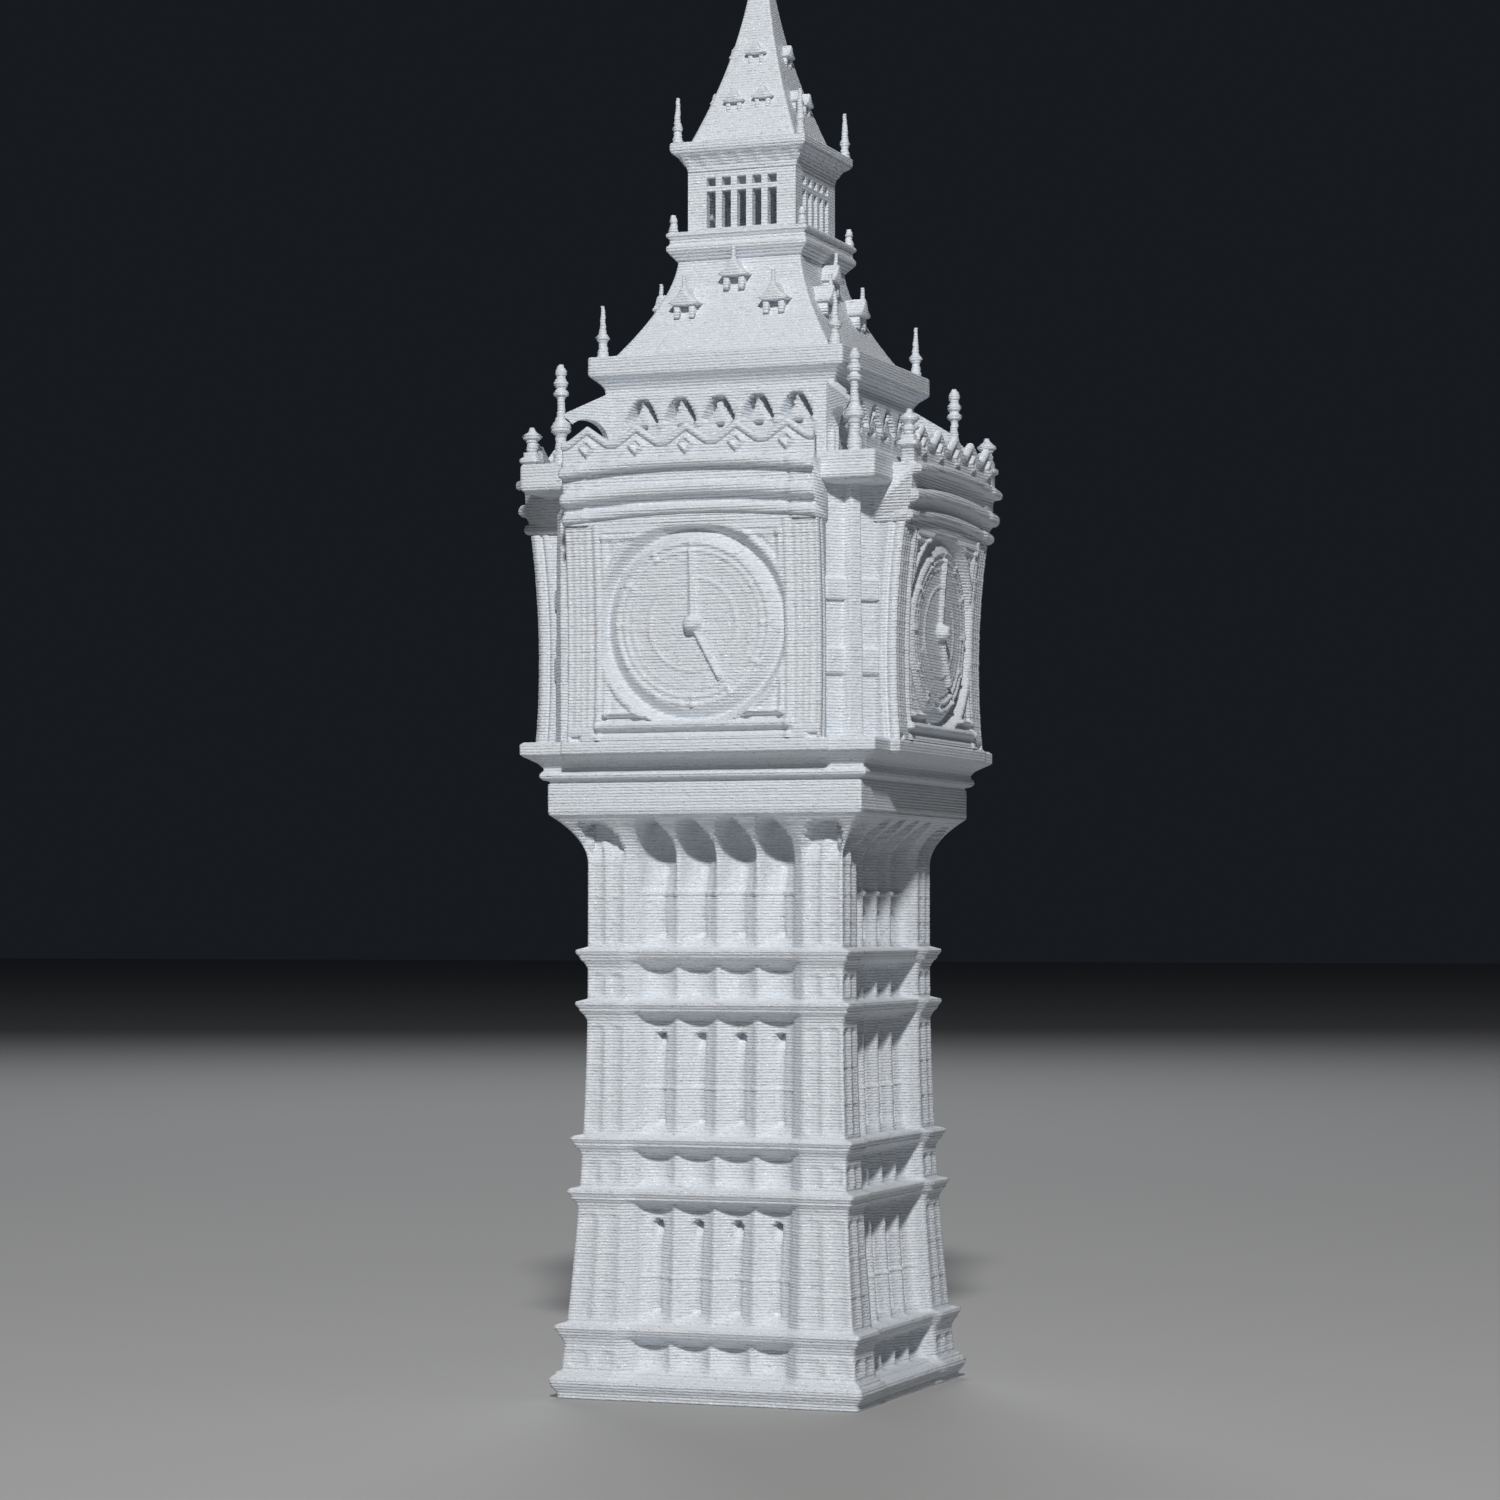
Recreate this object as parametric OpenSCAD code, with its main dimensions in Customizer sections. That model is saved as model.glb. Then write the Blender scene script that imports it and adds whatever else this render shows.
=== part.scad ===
// Miniature clock tower, printed in one colour: a battered square shaft with five
// string courses, a corbelled clock stage with four dials, an arcaded belfry, and
// two roofs with an open lantern between them. Millimetres, +Z up, origin on the
// ground under the middle of the shaft. The front dial faces -Y.

/* [Shaft] */
// Width of the shaft across its corner piers, above the batter
shaft_w = 18.3; // [15.3:0.1:21]
// How much each side leans out at the ground
batter = 1.5; // [0.5:0.05:1.8]
// Height at which the sides become plumb
batter_top = 29; // [24:0.5:30]
// Width of the flat front of each corner pier
pier_w = 2.8; // [2.3:0.1:3.4]
// Width of the splayed reveal between a pier and the window zone
reveal_w = 1; // [0.6:0.05:1.2]
// How far the corner piers stand out from the window zone
pier_proj = 0.8; // [0.5:0.05:1]
// Windows in each row
windows = 4; // [3:1:5]
// Width of the pilaster between two niches
mullion_w = 0.85; // [0.6:0.05:1.1]
// Depth of the hollow niche round each window
niche_d = 0.55; // [0.35:0.05:0.7]
// Width of a lancet window
lancet_w = 0.8; // [0.5:0.05:1]
// Depth of a lancet behind its niche
lancet_d = 0.4; // [0.2:0.05:0.6]
// How far the lip of a string course stands out
lip_out = 0.6; // [0.4:0.05:0.8]

/* [Heights] */
// Foot moulding
foot_h = 1.9; // [1.5:0.1:2.4]
// Plinth stage above the foot
plinth_h = 1.7; // [1.2:0.1:2.2]
// One string course
course_h = 1.45; // [1.2:0.05:1.8]
// Lower and middle window stage
stage_h = 7.6; // [6.3:0.1:9.2]
// Plain band between two string courses
band_h = 2.05; // [1.6:0.05:2.5]
// Top window stage, up to the corbels
top_stage_h = 5.55; // [4.6:0.05:6.7]
// Corbel table
corbel_h = 3.4; // [2.8:0.1:4.1]
// Frieze
frieze_h = 2.1; // [1.7:0.1:2.6]
// Ledge under the clock stage
ledge_h = 2.7; // [2.2:0.1:3.3]
// Upper cornice
cornice_h = 4.4; // [3.6:0.1:5.3]
// Belfry walls
belfry_h = 5.45; // [4.5:0.05:6.6]
// Lower eave
eave_h = 2.1; // [1.7:0.1:2.6]
// Lower roof
roof_h = 7; // [5.8:0.1:8.4]
// Gallery round the foot of the lantern
gallery_h = 1.95; // [1.6:0.05:2.35]
// Lantern
lantern_h = 4.25; // [3.5:0.05:5.1]
// Upper eave
upper_eave_h = 2; // [1.6:0.1:2.4]
// Spire above the upper eave
spire_h = 16.3; // [13.5:0.1:19.6]

/* [Clock stage] */
// Radius of the dial's outer rim
dial_r = 6.2; // [5.1:0.05:7.5]
// Width of the fluted pilaster beside each dial
pilaster_w = 2.6; // [2.1:0.05:3.1]
// Width of the recess and rib at each corner of the clock core
corner_w = 1.95; // [1.6:0.05:2.4]
// How far a clock face stands out of the core at its waist
face_proj = 1.95; // [1.6:0.05:2.4]
// How far the top edge of a face leans out past its waist
face_flare = 0.65; // [0.4:0.05:0.8]
// Depth of the square recess that holds the dial
dial_recess = 0.4; // [0.3:0.05:0.5]
// Plain wall under the dial recess
under_dial = 1.25; // [1:0.05:1.5]
// Plain wall over the dial recess
over_dial = 0.4; // [0.3:0.05:0.6]
// Rise of the cornice at the middle of each face
camber = 0.55; // [0.3:0.05:0.7]
// How far the ledge stands out of the clock core
ledge_out = 1.75; // [1.4:0.05:2.1]
// How far the ledge stands out of the frieze
ledge_over = 1.45; // [1.2:0.05:1.75]
// Bays of the parapet over each face
parapet_bays = 5; // [3:1:6]

/* [Roofs] */
// Width of the belfry
belfry_w = 16.6; // [13.8:0.1:18]
// Arches in each side of the belfry
belfry_arches = 5; // [3:1:6]
// How far the lower eave stands out of the belfry
eave_out = 0.9; // [0.6:0.05:1.1]
// Width of the lower roof at its top
roof_top_w = 9; // [7.5:0.1:10.5]
// How far the gallery stands out of the roof's top
gallery_out = 0.65; // [0.5:0.05:0.8]
// How far the lantern stands in from the roof's top
lantern_in = 0.55; // [0.45:0.05:0.7]
// Openings in each side of the lantern
lantern_openings = 5; // [3:1:5]
// How far the upper eave stands out of the lantern
upper_eave_out = 1; // [0.8:0.05:1.2]

/* [Hidden] */
$fn = 32;
eps = 0.01;
big = 60;

// clock stage, outwards from the dial
recess_half = dial_r + 0.15;
face_w = 2 * (recess_half + pilaster_w);
core_w = face_w + 2 * corner_w;
waist_y = core_w / 2 + face_proj;
clock_h = under_dial + 2 * recess_half + over_dial;
ledge_half = core_w / 2 + ledge_out;
frieze_half = ledge_half - ledge_over;
dial_floor_y = waist_y - dial_recess;

// widths of the roofs and the lantern
eave_half = belfry_w / 2 + eave_out;
roof_top_half = roof_top_w / 2;
gallery_half = roof_top_half + gallery_out;
lantern_half = roof_top_half - lantern_in;
upper_eave_half = lantern_half + upper_eave_out;

// levels, from the ground up
z_plinth = foot_h;
z_course1 = z_plinth + plinth_h;
z_lower = z_course1 + course_h;
z_course2 = z_lower + stage_h;
z_lower_band = z_course2 + course_h;
z_course3 = z_lower_band + band_h;
z_middle = z_course3 + course_h;
z_course4 = z_middle + stage_h;
z_upper_band = z_course4 + course_h;
z_course5 = z_upper_band + band_h;
z_top = z_course5 + course_h;
z_corbel = z_top + top_stage_h;
z_frieze = z_corbel + corbel_h;
z_ledge = z_frieze + frieze_h;
z_clock = z_ledge + ledge_h;
z_cornice = z_clock + clock_h;
z_belfry = z_cornice + cornice_h;
z_eave = z_belfry + belfry_h;
z_roof = z_eave + eave_h;
z_gallery = z_roof + roof_h;
z_lantern = z_gallery + gallery_h;
z_upper_eave = z_lantern + lantern_h;
z_spire = z_upper_eave + upper_eave_h;
z_spire_top = z_spire + spire_h;

// shaft
zone_w = shaft_w - 2 * pier_w;
land_w = 0.08;
window_pitch = (zone_w - 2 * (reveal_w + land_w) + mullion_w) / windows;
niche_w = window_pitch - mullion_w;
niche_r = (niche_w * niche_w / 4 + niche_d * niche_d) / (2 * niche_d);
niche_head = 0.4;
panel_w = 0.3 * pier_w;
panel_d = 0.2;

// clock stage details
waist_z = z_clock + 0.38 * clock_h;
face_curve_r = pow(z_cornice - waist_z, 2) / (2 * face_flare);
face_top_y = waist_y + face_flare;
dial_z = z_clock + under_dial + recess_half;
rim_w = 0.45;
frame_w = 0.35;
rib_w = corner_w / 2;
hand_h = 0.3;
parapet_y = face_top_y + 0.5;
parapet_pitch = face_w / parapet_bays;
parapet_t = 0.55;
post_w = 0.95;
pinnacle_at = core_w / 2 - 0.35;

plastic = [0.84, 0.87, 0.92];

// half width of the shaft at height z
function shaft_half(z) =
    shaft_w / 2 + (z < batter_top ? batter * pow(1 - z / batter_top, 2) : 0);

// both sides of a symmetrical outline whose right side is the list p
function both_sides(p) = concat(p, [for (i = [len(p) - 1:-1:0]) [-p[i][0], p[i][1]]]);
function moved_out(p, d) = [for (q = p) [q[0] + d, q[1]]];

// a solid that shows the outline p, a list of [half width, height], on all four sides
module four_sided(p) {
    intersection() {
        rotate([90, 0, 0]) linear_extrude(big, center = true) polygon(both_sides(p));
        rotate([90, 0, 90]) linear_extrude(big, center = true) polygon(both_sides(p));
    }
}

module four_faces() {
    for (a = [0:90:270]) rotate(a) children();
}

// outline p on the corner piers, set back by pier_proj between them, with splayed
// reveals for a wall whose face is at distance h
module piered(p, h) {
    tall = p[len(p) - 1][1] - p[0][1];
    splay = reveal_w / pier_proj;
    inner = h - pier_proj;
    outer = h + lip_out + 1;
    near = zone_w / 2 - reveal_w;
    far = zone_w / 2 + splay * (outer - h);
    four_sided(moved_out(p, -pier_proj));
    intersection() {
        four_sided(p);
        four_faces() translate([0, 0, p[0][1]]) linear_extrude(tall)
            polygon([[near, inner], [far, outer], [outer, far], [inner, near]]);
    }
}

// local frame on a leaning wall: x along it, y into it, z up it
module on_wall(z0, z1, set_back = 0) {
    h0 = shaft_half(z0);
    h1 = shaft_half(z1);
    four_faces()
        translate([0, -h0 + set_back, z0]) rotate([-atan((h0 - h1) / (z1 - z0)), 0, 0]) children();
}

module window_places() {
    for (i = [0:windows - 1]) translate([(i - (windows - 1) / 2) * window_pitch, 0, 0]) children();
}

// flat shape with a round head, standing on y = 0
module lancet_shape(width, height) {
    translate([-width / 2, 0]) square([width, height - width / 2]);
    translate([0, height - width / 2]) circle(d = width);
}

// flat pointed arch, standing on y = 0
module pointed_shape(width, height, radius) {
    rise = sqrt(radius * radius - pow(radius - width / 2, 2));
    translate([-width / 2, 0]) square([width, height - rise + eps]);
    translate([0, height - rise]) intersection() {
        translate([radius - width / 2, 0]) circle(radius, $fn = 64);
        translate([-radius + width / 2, 0]) circle(radius, $fn = 64);
        translate([-width / 2, 0]) square([width, rise + eps]);
    }
}

// cuts the shape below from outside the wall to a depth behind it
module sunk(depth) {
    rotate([90, 0, 0]) translate([0, 0, -depth]) linear_extrude(depth + 3) children();
}

// hollow niches with scalloped heads that start at the given height
module niches(height) {
    window_places() translate([0, -niche_r + niche_d, -1]) {
        cylinder(r = niche_r, h = height + 1);
        translate([0, 0, height + 1]) sphere(niche_r);
    }
}

// two sunk panels on each side of each corner pier
module pier_panels(z0, z1, margin) {
    on_wall(z0, z1)
        for (side = [-1, 1], k = [0.27, 0.73])
            translate([side * (zone_w / 2 + k * pier_w), 0, margin])
                sunk(panel_d) lancet_shape(panel_w, z1 - z0 - 2 * margin);
}

// wall between two heights: piers, reveals and a set-back middle with niches
module wall(z0, z1) {
    p = [[shaft_half(z0), z0], [shaft_half(z1), z1]];
    tall = z1 - z0;
    pier_at = zone_w / 2 + pier_w / 4;
    difference() {
        intersection() {
            four_sided(p);
            union() {
                four_sided(moved_out(p, -pier_proj));
                four_faces() translate([pier_at, pier_at, z0]) cube([big, big, tall]);
                on_wall(z0, z1) for (side = [0, 1]) mirror([side, 0, 0])
                    translate([zone_w / 2, 0, -1]) linear_extrude(tall + 2) polygon([
                        [-1.5 * reveal_w, 1.5 * pier_proj], [reveal_w / 2, -pier_proj / 2],
                        [pier_w / 2, -pier_proj / 2], [pier_w / 2, 2 * pier_proj]
                    ]);
            }
        }
        on_wall(z0, z1, pier_proj) niches(tall - niche_head);
        pier_panels(z0, z1, 0.12 * pier_w);
    }
}

module window_stage(z0, z1, sill, head) {
    tall = z1 - z0;
    difference() {
        wall(z0, z1);
        on_wall(z0, z1, pier_proj) window_places() translate([0, 0, sill])
            sunk(niche_d + lancet_d) lancet_shape(lancet_w, head - sill);
    }
    // transoms and the low round sills in the niches
    on_wall(z0, z1, pier_proj) window_places() {
        translate([-niche_w / 2, niche_d / 2, 0.52 * tall]) cube([niche_w, niche_d / 2 + lancet_d, 0.15]);
        translate([0, niche_d, sill - 0.35]) cylinder(r1 = 0.36 * niche_w, r2 = 0.25 * niche_w, h = 0.35);
    }
}

// string course: hollow underside in two rolls, sharp lip, small step on top
module string_course(z0) {
    z1 = z0 + course_h;
    h0 = shaft_half(z0);
    h1 = shaft_half(z1);
    difference() {
        piered([
            [h0, z0], [h0 + 0.12, z0 + 0.18 * course_h], [h0 + 0.16, z0 + 0.4 * course_h],
            [h0 + 0.34, z0 + 0.52 * course_h], [h0 + 0.38, z0 + 0.64 * course_h],
            [h1 + lip_out, z0 + 0.74 * course_h], [h1 + lip_out, z0 + 0.86 * course_h],
            [h1 + 0.2, z0 + 0.9 * course_h], [h1 + 0.12, z1]
        ], h0);
        on_wall(z0, z1, pier_proj) niches(-niche_head);
    }
}

module foot_moulding() color(plastic) {
    h = shaft_half(z_plinth);
    r = shaft_half(0);
    piered([
        [r, 0], [r + 0.1, 0.25 * foot_h], [r + 0.48, 0.45 * foot_h], [r + 0.58, 0.7 * foot_h],
        [r + 0.48, 0.8 * foot_h], [h + 0.3, 0.86 * foot_h], [h + 0.25, foot_h]
    ], r);
}

module plinth_stage() color(plastic) wall(z_plinth, z_course1);
module string_course_1() color(plastic) string_course(z_course1);
module lower_stage() color(plastic) window_stage(z_lower, z_course2, 0.14 * stage_h, 0.93 * stage_h);
module string_course_2() color(plastic) string_course(z_course2);
module lower_band() color(plastic) wall(z_lower_band, z_course3);
module string_course_3() color(plastic) string_course(z_course3);
module middle_stage() color(plastic)
    window_stage(z_middle, z_course4, 0.14 * stage_h, 0.93 * stage_h);
module string_course_4() color(plastic) string_course(z_course4);
module upper_band() color(plastic) wall(z_upper_band, z_course5);
module string_course_5() color(plastic) string_course(z_course5);
module upper_stage() color(plastic)
    window_stage(z_top, z_corbel, 0.17 * top_stage_h, 0.95 * top_stage_h);

// flare of the corbels: slow at first, then quickly out to the frieze
corbel_steps = 7;
corbel_outline = [
    for (i = [0:corbel_steps])
        [shaft_w / 2 + (frieze_half - shaft_w / 2) * pow(i / corbel_steps, 2),
         z_corbel + corbel_h * i / corbel_steps]
];

module corbel_table() color(plastic) {
    back = shaft_w / 2 - pier_proj - niche_d;
    arch_w = window_pitch - 0.35;
    pier_arch_w = 0.93 * pier_w;
    difference() {
        four_sided(corbel_outline);
        four_faces() {
            window_places() translate([0, -back, z_corbel - 1])
                sunk(0) pointed_shape(arch_w, corbel_h + 0.85, 1.15 * arch_w);
            for (side = [-1, 1])
                translate([side * (zone_w / 2 + pier_w / 2), -shaft_w / 2 + panel_d, z_corbel - 1])
                    sunk(0) difference() {
                        pointed_shape(pier_arch_w, 0.85 * corbel_h + 1, 1.05 * pier_arch_w);
                        translate([-0.09 * pier_w, 0]) square([0.18 * pier_w, 0.56 * corbel_h + 1]);
                    }
        }
    }
}

module frieze() color(plastic) four_sided([[frieze_half, z_frieze], [frieze_half, z_ledge]]);

module ledge_moulding() color(plastic) {
    h = frieze_half;
    lip = ledge_half;
    arm = face_w / 2 + 0.5;
    reach = face_top_y - 0.1;
    four_sided([
        [h, z_ledge], [h + 0.15, z_ledge + 0.04 * ledge_h], [h + 0.15, z_ledge + 0.2 * ledge_h],
        [h + 0.32, z_ledge + 0.24 * ledge_h], [h + 0.32, z_ledge + 0.38 * ledge_h],
        [h + 0.5, z_ledge + 0.46 * ledge_h], [lip - 0.35, z_ledge + 0.6 * ledge_h],
        [lip - 0.05, z_ledge + 0.7 * ledge_h], [lip, z_ledge + 0.76 * ledge_h], [lip, z_clock]
    ]);
    four_faces() translate([0, 0, z_ledge]) rotate([90, 0, 90])
        linear_extrude(2 * arm, center = true)
            polygon([
                [-lip + 0.4, 0.55 * ledge_h], [-reach + 0.45, 0.66 * ledge_h],
                [-reach, 0.76 * ledge_h], [-reach, ledge_h], [-lip + 0.4, ledge_h]
            ]);
}

module clock_core() color(plastic) difference() {
    translate([-core_w / 2, -core_w / 2, z_clock]) cube([core_w, core_w, clock_h]);
    four_faces() translate([core_w / 2 - rib_w, core_w / 2 - rib_w, z_clock - 1])
        cube([big, big, clock_h + 2]);
    for (k = [0.33, 0.66])
        translate([0, 0, z_clock + k * clock_h]) difference() {
            cube([big, big, 0.16], center = true);
            cube([core_w - 0.3, core_w - 0.3, 1], center = true);
        }
}

module corner_ribs() color(plastic)
    four_faces() translate([core_w / 2 - rib_w, core_w / 2 - rib_w, z_clock])
        difference() {
            cube([rib_w, rib_w, clock_h]);
            for (at = [[rib_w, rib_w / 2], [rib_w / 2, rib_w]])
                translate([at[0], at[1], -1]) cylinder(r = 0.16 * rib_w, h = clock_h + 2);
        }

// block that carries one dial: hollow-curved front, fluted pilasters, square recess
module clock_face() {
    depth = face_top_y + 1;
    flute_w = 0.1 * pilaster_w;
    difference() {
        translate([-face_w / 2, -depth, z_clock]) cube([face_w, depth - core_w / 2, clock_h]);
        translate([0, -waist_y - face_curve_r, waist_z]) rotate([0, 90, 0])
            cylinder(r = face_curve_r, h = face_w + 2, center = true, $fn = 360);
        translate([-recess_half, -depth - 1, dial_z - recess_half])
            cube([2 * recess_half, depth + 1 - dial_floor_y, 2 * recess_half]);
        for (side = [-1, 1], k = [0.4, 0.6, 0.8])
            translate([side * (recess_half + k * pilaster_w), -waist_y + 0.1, z_clock + 0.5])
                sunk(0) lancet_shape(flute_w, clock_h - 1.2);
    }
}

module clock_front() color(plastic) clock_face();
module clock_right() color(plastic) rotate(90) clock_face();
module clock_back() color(plastic) rotate(180) clock_face();
module clock_left() color(plastic) rotate(270) clock_face();

// places children on the floor of each dial recess, z out of the wall, y up
module on_dials(height = 0) {
    four_faces() translate([0, -dial_floor_y - height, dial_z]) rotate([90, 0, 0]) children();
}

module ring(outer, width, height) {
    difference() {
        cylinder(r = outer, h = height, $fn = 96);
        translate([0, 0, -1]) cylinder(r = outer - width, h = height + 2, $fn = 96);
    }
}

module dials() color(plastic) on_dials() {
    cylinder(r = dial_r - rim_w + eps, h = hand_h / 2, $fn = 96);
    ring(dial_r, rim_w, 0.55);
    for (r = [0.86, 0.75, 0.49]) ring(r * dial_r, 0.03 * dial_r, hand_h);
    for (a = [0:30:330]) rotate(a)
        translate([-0.02 * dial_r, 0.74 * dial_r, 0]) cube([0.04 * dial_r, 0.11 * dial_r, hand_h]);
}

// raised plates in the corners of the square frame, each with a sunk inner field
module spandrels() color(plastic) on_dials() {
    clear = 0.55;
    for (a = [0:90:270]) rotate(a) difference() {
        cube([recess_half, recess_half, hand_h]);
        translate([0, 0, -1]) cylinder(r = dial_r + clear, h = 3, $fn = 96);
        translate([0, 0, hand_h / 2]) difference() {
            cube([recess_half - frame_w, recess_half - frame_w, 1]);
            cylinder(r = dial_r + clear + frame_w, h = 1, $fn = 96);
        }
    }
}

module hand(angle, length, width) {
    rotate(-angle) translate([-width / 2, 0, 0]) cube([width, length, hand_h]);
}

module clock_hands() color(plastic) {
    on_dials(hand_h / 2) cylinder(r = 0.07 * dial_r, h = 3 * hand_h);
    on_dials(hand_h) {
        hand(0, 0.8 * dial_r, 0.22);
        hand(150, 0.56 * dial_r, 0.32);
    }
}

// cornice mouldings, a list of [height above the clock stage, how far out of the face's top]
roll = [for (a = [-90:22.5:90]) [sin(a), cos(a)]];
function half_round(at, out, r) = [for (q = roll) [at + r * q[0], out + r * q[1]]];
cornice_profile = concat(
    [[-2, -2], [-2, 0]],
    half_round(0.2 * cornice_h, 0, 0.08 * cornice_h),
    [[0.34 * cornice_h, 0.1], [0.36 * cornice_h, 0.3]],
    half_round(0.5 * cornice_h, 0.35, 0.1 * cornice_h),
    [[0.62 * cornice_h, 0.45], [0.8 * cornice_h, 0.55]],
    half_round(0.9 * cornice_h, 0.7, 0.07 * cornice_h),
    [[cornice_h, 0.65], [cornice_h, -2]]
);
arch_r = (pow(face_w / 2, 2) + camber * camber) / (2 * camber);

// the mouldings swept round the arch over one face
module cornice_arch(half_width, out) {
    intersection() {
        translate([0, 0, z_cornice - arch_r]) rotate([90, 0, 0]) rotate_extrude($fn = 360)
            polygon([for (q = cornice_profile) [arch_r + q[0], out + q[1]]]);
        translate([-half_width, -big, z_cornice]) cube([2 * half_width, big - core_w / 2, cornice_h]);
    }
}

module upper_cornice() color(plastic) {
    slab = ledge_half;
    back = core_w / 2;
    four_sided([
        [back, z_cornice], [back + 0.2, z_cornice + 0.3 * cornice_h],
        [slab - 0.3, z_cornice + 0.56 * cornice_h], [slab, z_cornice + 0.6 * cornice_h], [slab, z_belfry]
    ]);
    four_faces() {
        cornice_arch(face_w / 2, face_top_y);
        difference() {
            cornice_arch(face_w / 2, face_top_y + 0.15);
            translate([-recess_half - 0.4 * pilaster_w, -big, z_cornice - 1])
                cube([2 * recess_half + 0.8 * pilaster_w, big, cornice_h + 2]);
        }
    }
}

// wavy top of the parapet over one face, on a base that follows the cornice's arch
valley_h = 1.25;
wave_h = 0.8;
parapet_wave = [
    for (i = [0:8 * parapet_bays])
        [(i / 8 / parapet_bays - 0.5) * face_w, valley_h + wave_h * (0.5 - 0.5 * cos(45 * i))]
];
parapet_roll = concat(
    parapet_wave,
    [for (i = [8 * parapet_bays:-1:0]) [parapet_wave[i][0], parapet_wave[i][1] - 0.55]]
);

module parapet() {
    linear_extrude(parapet_t)
        polygon(concat(parapet_wave, [[face_w / 2, -2 * camber], [-face_w / 2, -2 * camber]]));
    translate([0, 0, parapet_t - eps]) linear_extrude(0.25) polygon(parapet_roll);
    // diamond boss in each bay
    d = 0.19 * parapet_pitch;
    for (i = [0:parapet_bays - 1])
        translate([(i - (parapet_bays - 1) / 2) * parapet_pitch, valley_h / 2 + 0.1, parapet_t - eps])
            linear_extrude(0.2) polygon([[-d, 0], [0, -d], [d, 0], [0, d]]);
}

// the part of a shape that is above the cornice's arched top
module above_cornice() difference() {
    children();
    translate([0, 0, z_belfry - arch_r - cornice_h]) rotate([90, 0, 0])
        cylinder(r = arch_r + cornice_h, h = 2 * big, center = true, $fn = 360);
}

// the left and right parapets end in square posts with a collar
post_h = 1.3;
module parapets() color(plastic) {
    for (a = [0:90:270]) rotate(a) above_cornice() {
        difference() {
            translate([0, -parapet_y + parapet_t, z_belfry]) rotate([90, 0, 0]) parapet();
            if (a % 180 == 90) bud_places() cube([post_w, 4, 9], center = true);
        }
        if (a % 180 == 90) bud_places() {
            translate([0, 0, (post_h - 1) / 2]) cube([post_w, post_w, post_h + 1], center = true);
            translate([0, 0, 0.7]) cube([post_w + 0.5, post_w + 0.5, 0.35], center = true);
        }
    }
}

module bud_places() {
    for (side = [-1, 1])
        translate([side * (face_w / 2 - post_w / 2), -parapet_y - 0.1 + post_w / 2, z_belfry]) children();
}

// turned shape: list of [radius, height]
module turned(p) {
    rotate_extrude() polygon(concat([[0, p[0][1]]], p, [[0, p[len(p) - 1][1]]]));
}

module pinnacle_places() {
    four_faces() translate([pinnacle_at, pinnacle_at, z_belfry]) children();
}
module pinnacle() turned([
    [0.62, 0], [0.62, 0.9], [0.45, 1], [0.45, 2.1], [0.78, 2.5], [0.78, 2.9], [0.42, 3.3],
    [0.3, 4.6], [0.52, 4.85], [0.52, 5.1], [0.34, 5.35], [0.5, 5.6], [0.5, 5.8], [0.32, 6.05],
    [0.42, 6.3], [0.42, 6.45], [0.12, 7]
]);
module corner_pinnacles() color(plastic) pinnacle_places() pinnacle();

module bud_finials() color(plastic)
    for (a = [90, 270]) rotate(a) bud_places() translate([0, 0, post_h]) turned([
        [0.27, 0], [0.45, 0.4], [0.4, 0.8], [0.72, 1.1], [0.5, 1.4], [0.15, 1.75]
    ]);

// each bay has an ogee hood between two lens-shaped openings, with a slot under it
module belfry() color(plastic) {
    pitch = 0.28 * belfry_w * 3 / belfry_arches;
    difference() {
        translate([-belfry_w / 2, -belfry_w / 2, z_belfry]) cube([belfry_w, belfry_w, belfry_h]);
        four_faces() for (i = [0:belfry_arches - 1])
            translate([(i - (belfry_arches - 1) / 2) * pitch, -belfry_w / 2, z_belfry]) {
                translate([0, 0.35, 0.5]) sunk(0) difference() {
                    pointed_shape(0.8 * pitch, 0.82 * belfry_h, 0.7 * pitch);
                    translate([0, 0.2 * belfry_h]) pointed_shape(0.34 * pitch, 0.56 * belfry_h, 0.9 * pitch);
                }
                for (side = [-1, 1]) translate([side * 0.22 * pitch, 0, 0.62 * belfry_h]) sunk(0.75)
                    rotate(side * 25) scale([0.1 * pitch, 0.13 * belfry_h]) circle(1);
                translate([0, 0, 0.45 * belfry_h]) sunk(0.9) square([0.3 * pitch, 0.25], center = true);
            }
    }
}

// thin arched fins from the belfry's corners out to the pinnacles
module flying_buttresses() color(plastic)
    four_faces() difference() {
        inner = belfry_w / 2 * sqrt(2) - 0.7;
        outer = pinnacle_at * sqrt(2);
        gap_r = (outer - inner) / 2 - 0.35;
        rotate(45) rotate([90, 0, 0]) linear_extrude(0.8, center = true) difference() {
            polygon([
                [inner, z_belfry], [outer, z_belfry], [outer, z_belfry + 3.5],
                [inner, z_belfry + 0.98 * belfry_h]
            ]);
            translate([(inner + outer) / 2 + 0.2, z_belfry + 1.7]) {
                circle(gap_r);
                translate([-gap_r, -2]) square([2 * gap_r, 2]);
            }
        }
        translate([-belfry_w / 2, -belfry_w / 2, 0]) cube([belfry_w, belfry_w, big * 2]);
        translate([pinnacle_at, pinnacle_at, z_belfry]) pinnacle();
    }

module lower_eave() color(plastic) four_sided([
    [belfry_w / 2, z_eave], [eave_half - 0.1, z_eave + 0.35 * eave_h],
    [eave_half, z_eave + 0.4 * eave_h], [eave_half, z_roof]
]);

// concave outline that narrows from one half width to another
function swept(wide, narrow, z0, tall, power, steps) = [
    for (i = [0:steps]) [narrow + (wide - narrow) * pow(1 - i / steps, power), z0 + tall * i / steps]
];

roof_outline = swept(eave_half - 1.3, roof_top_half, z_roof, roof_h, 1.55, 8);
module lower_roof() color(plastic) four_sided(roof_outline);

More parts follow.
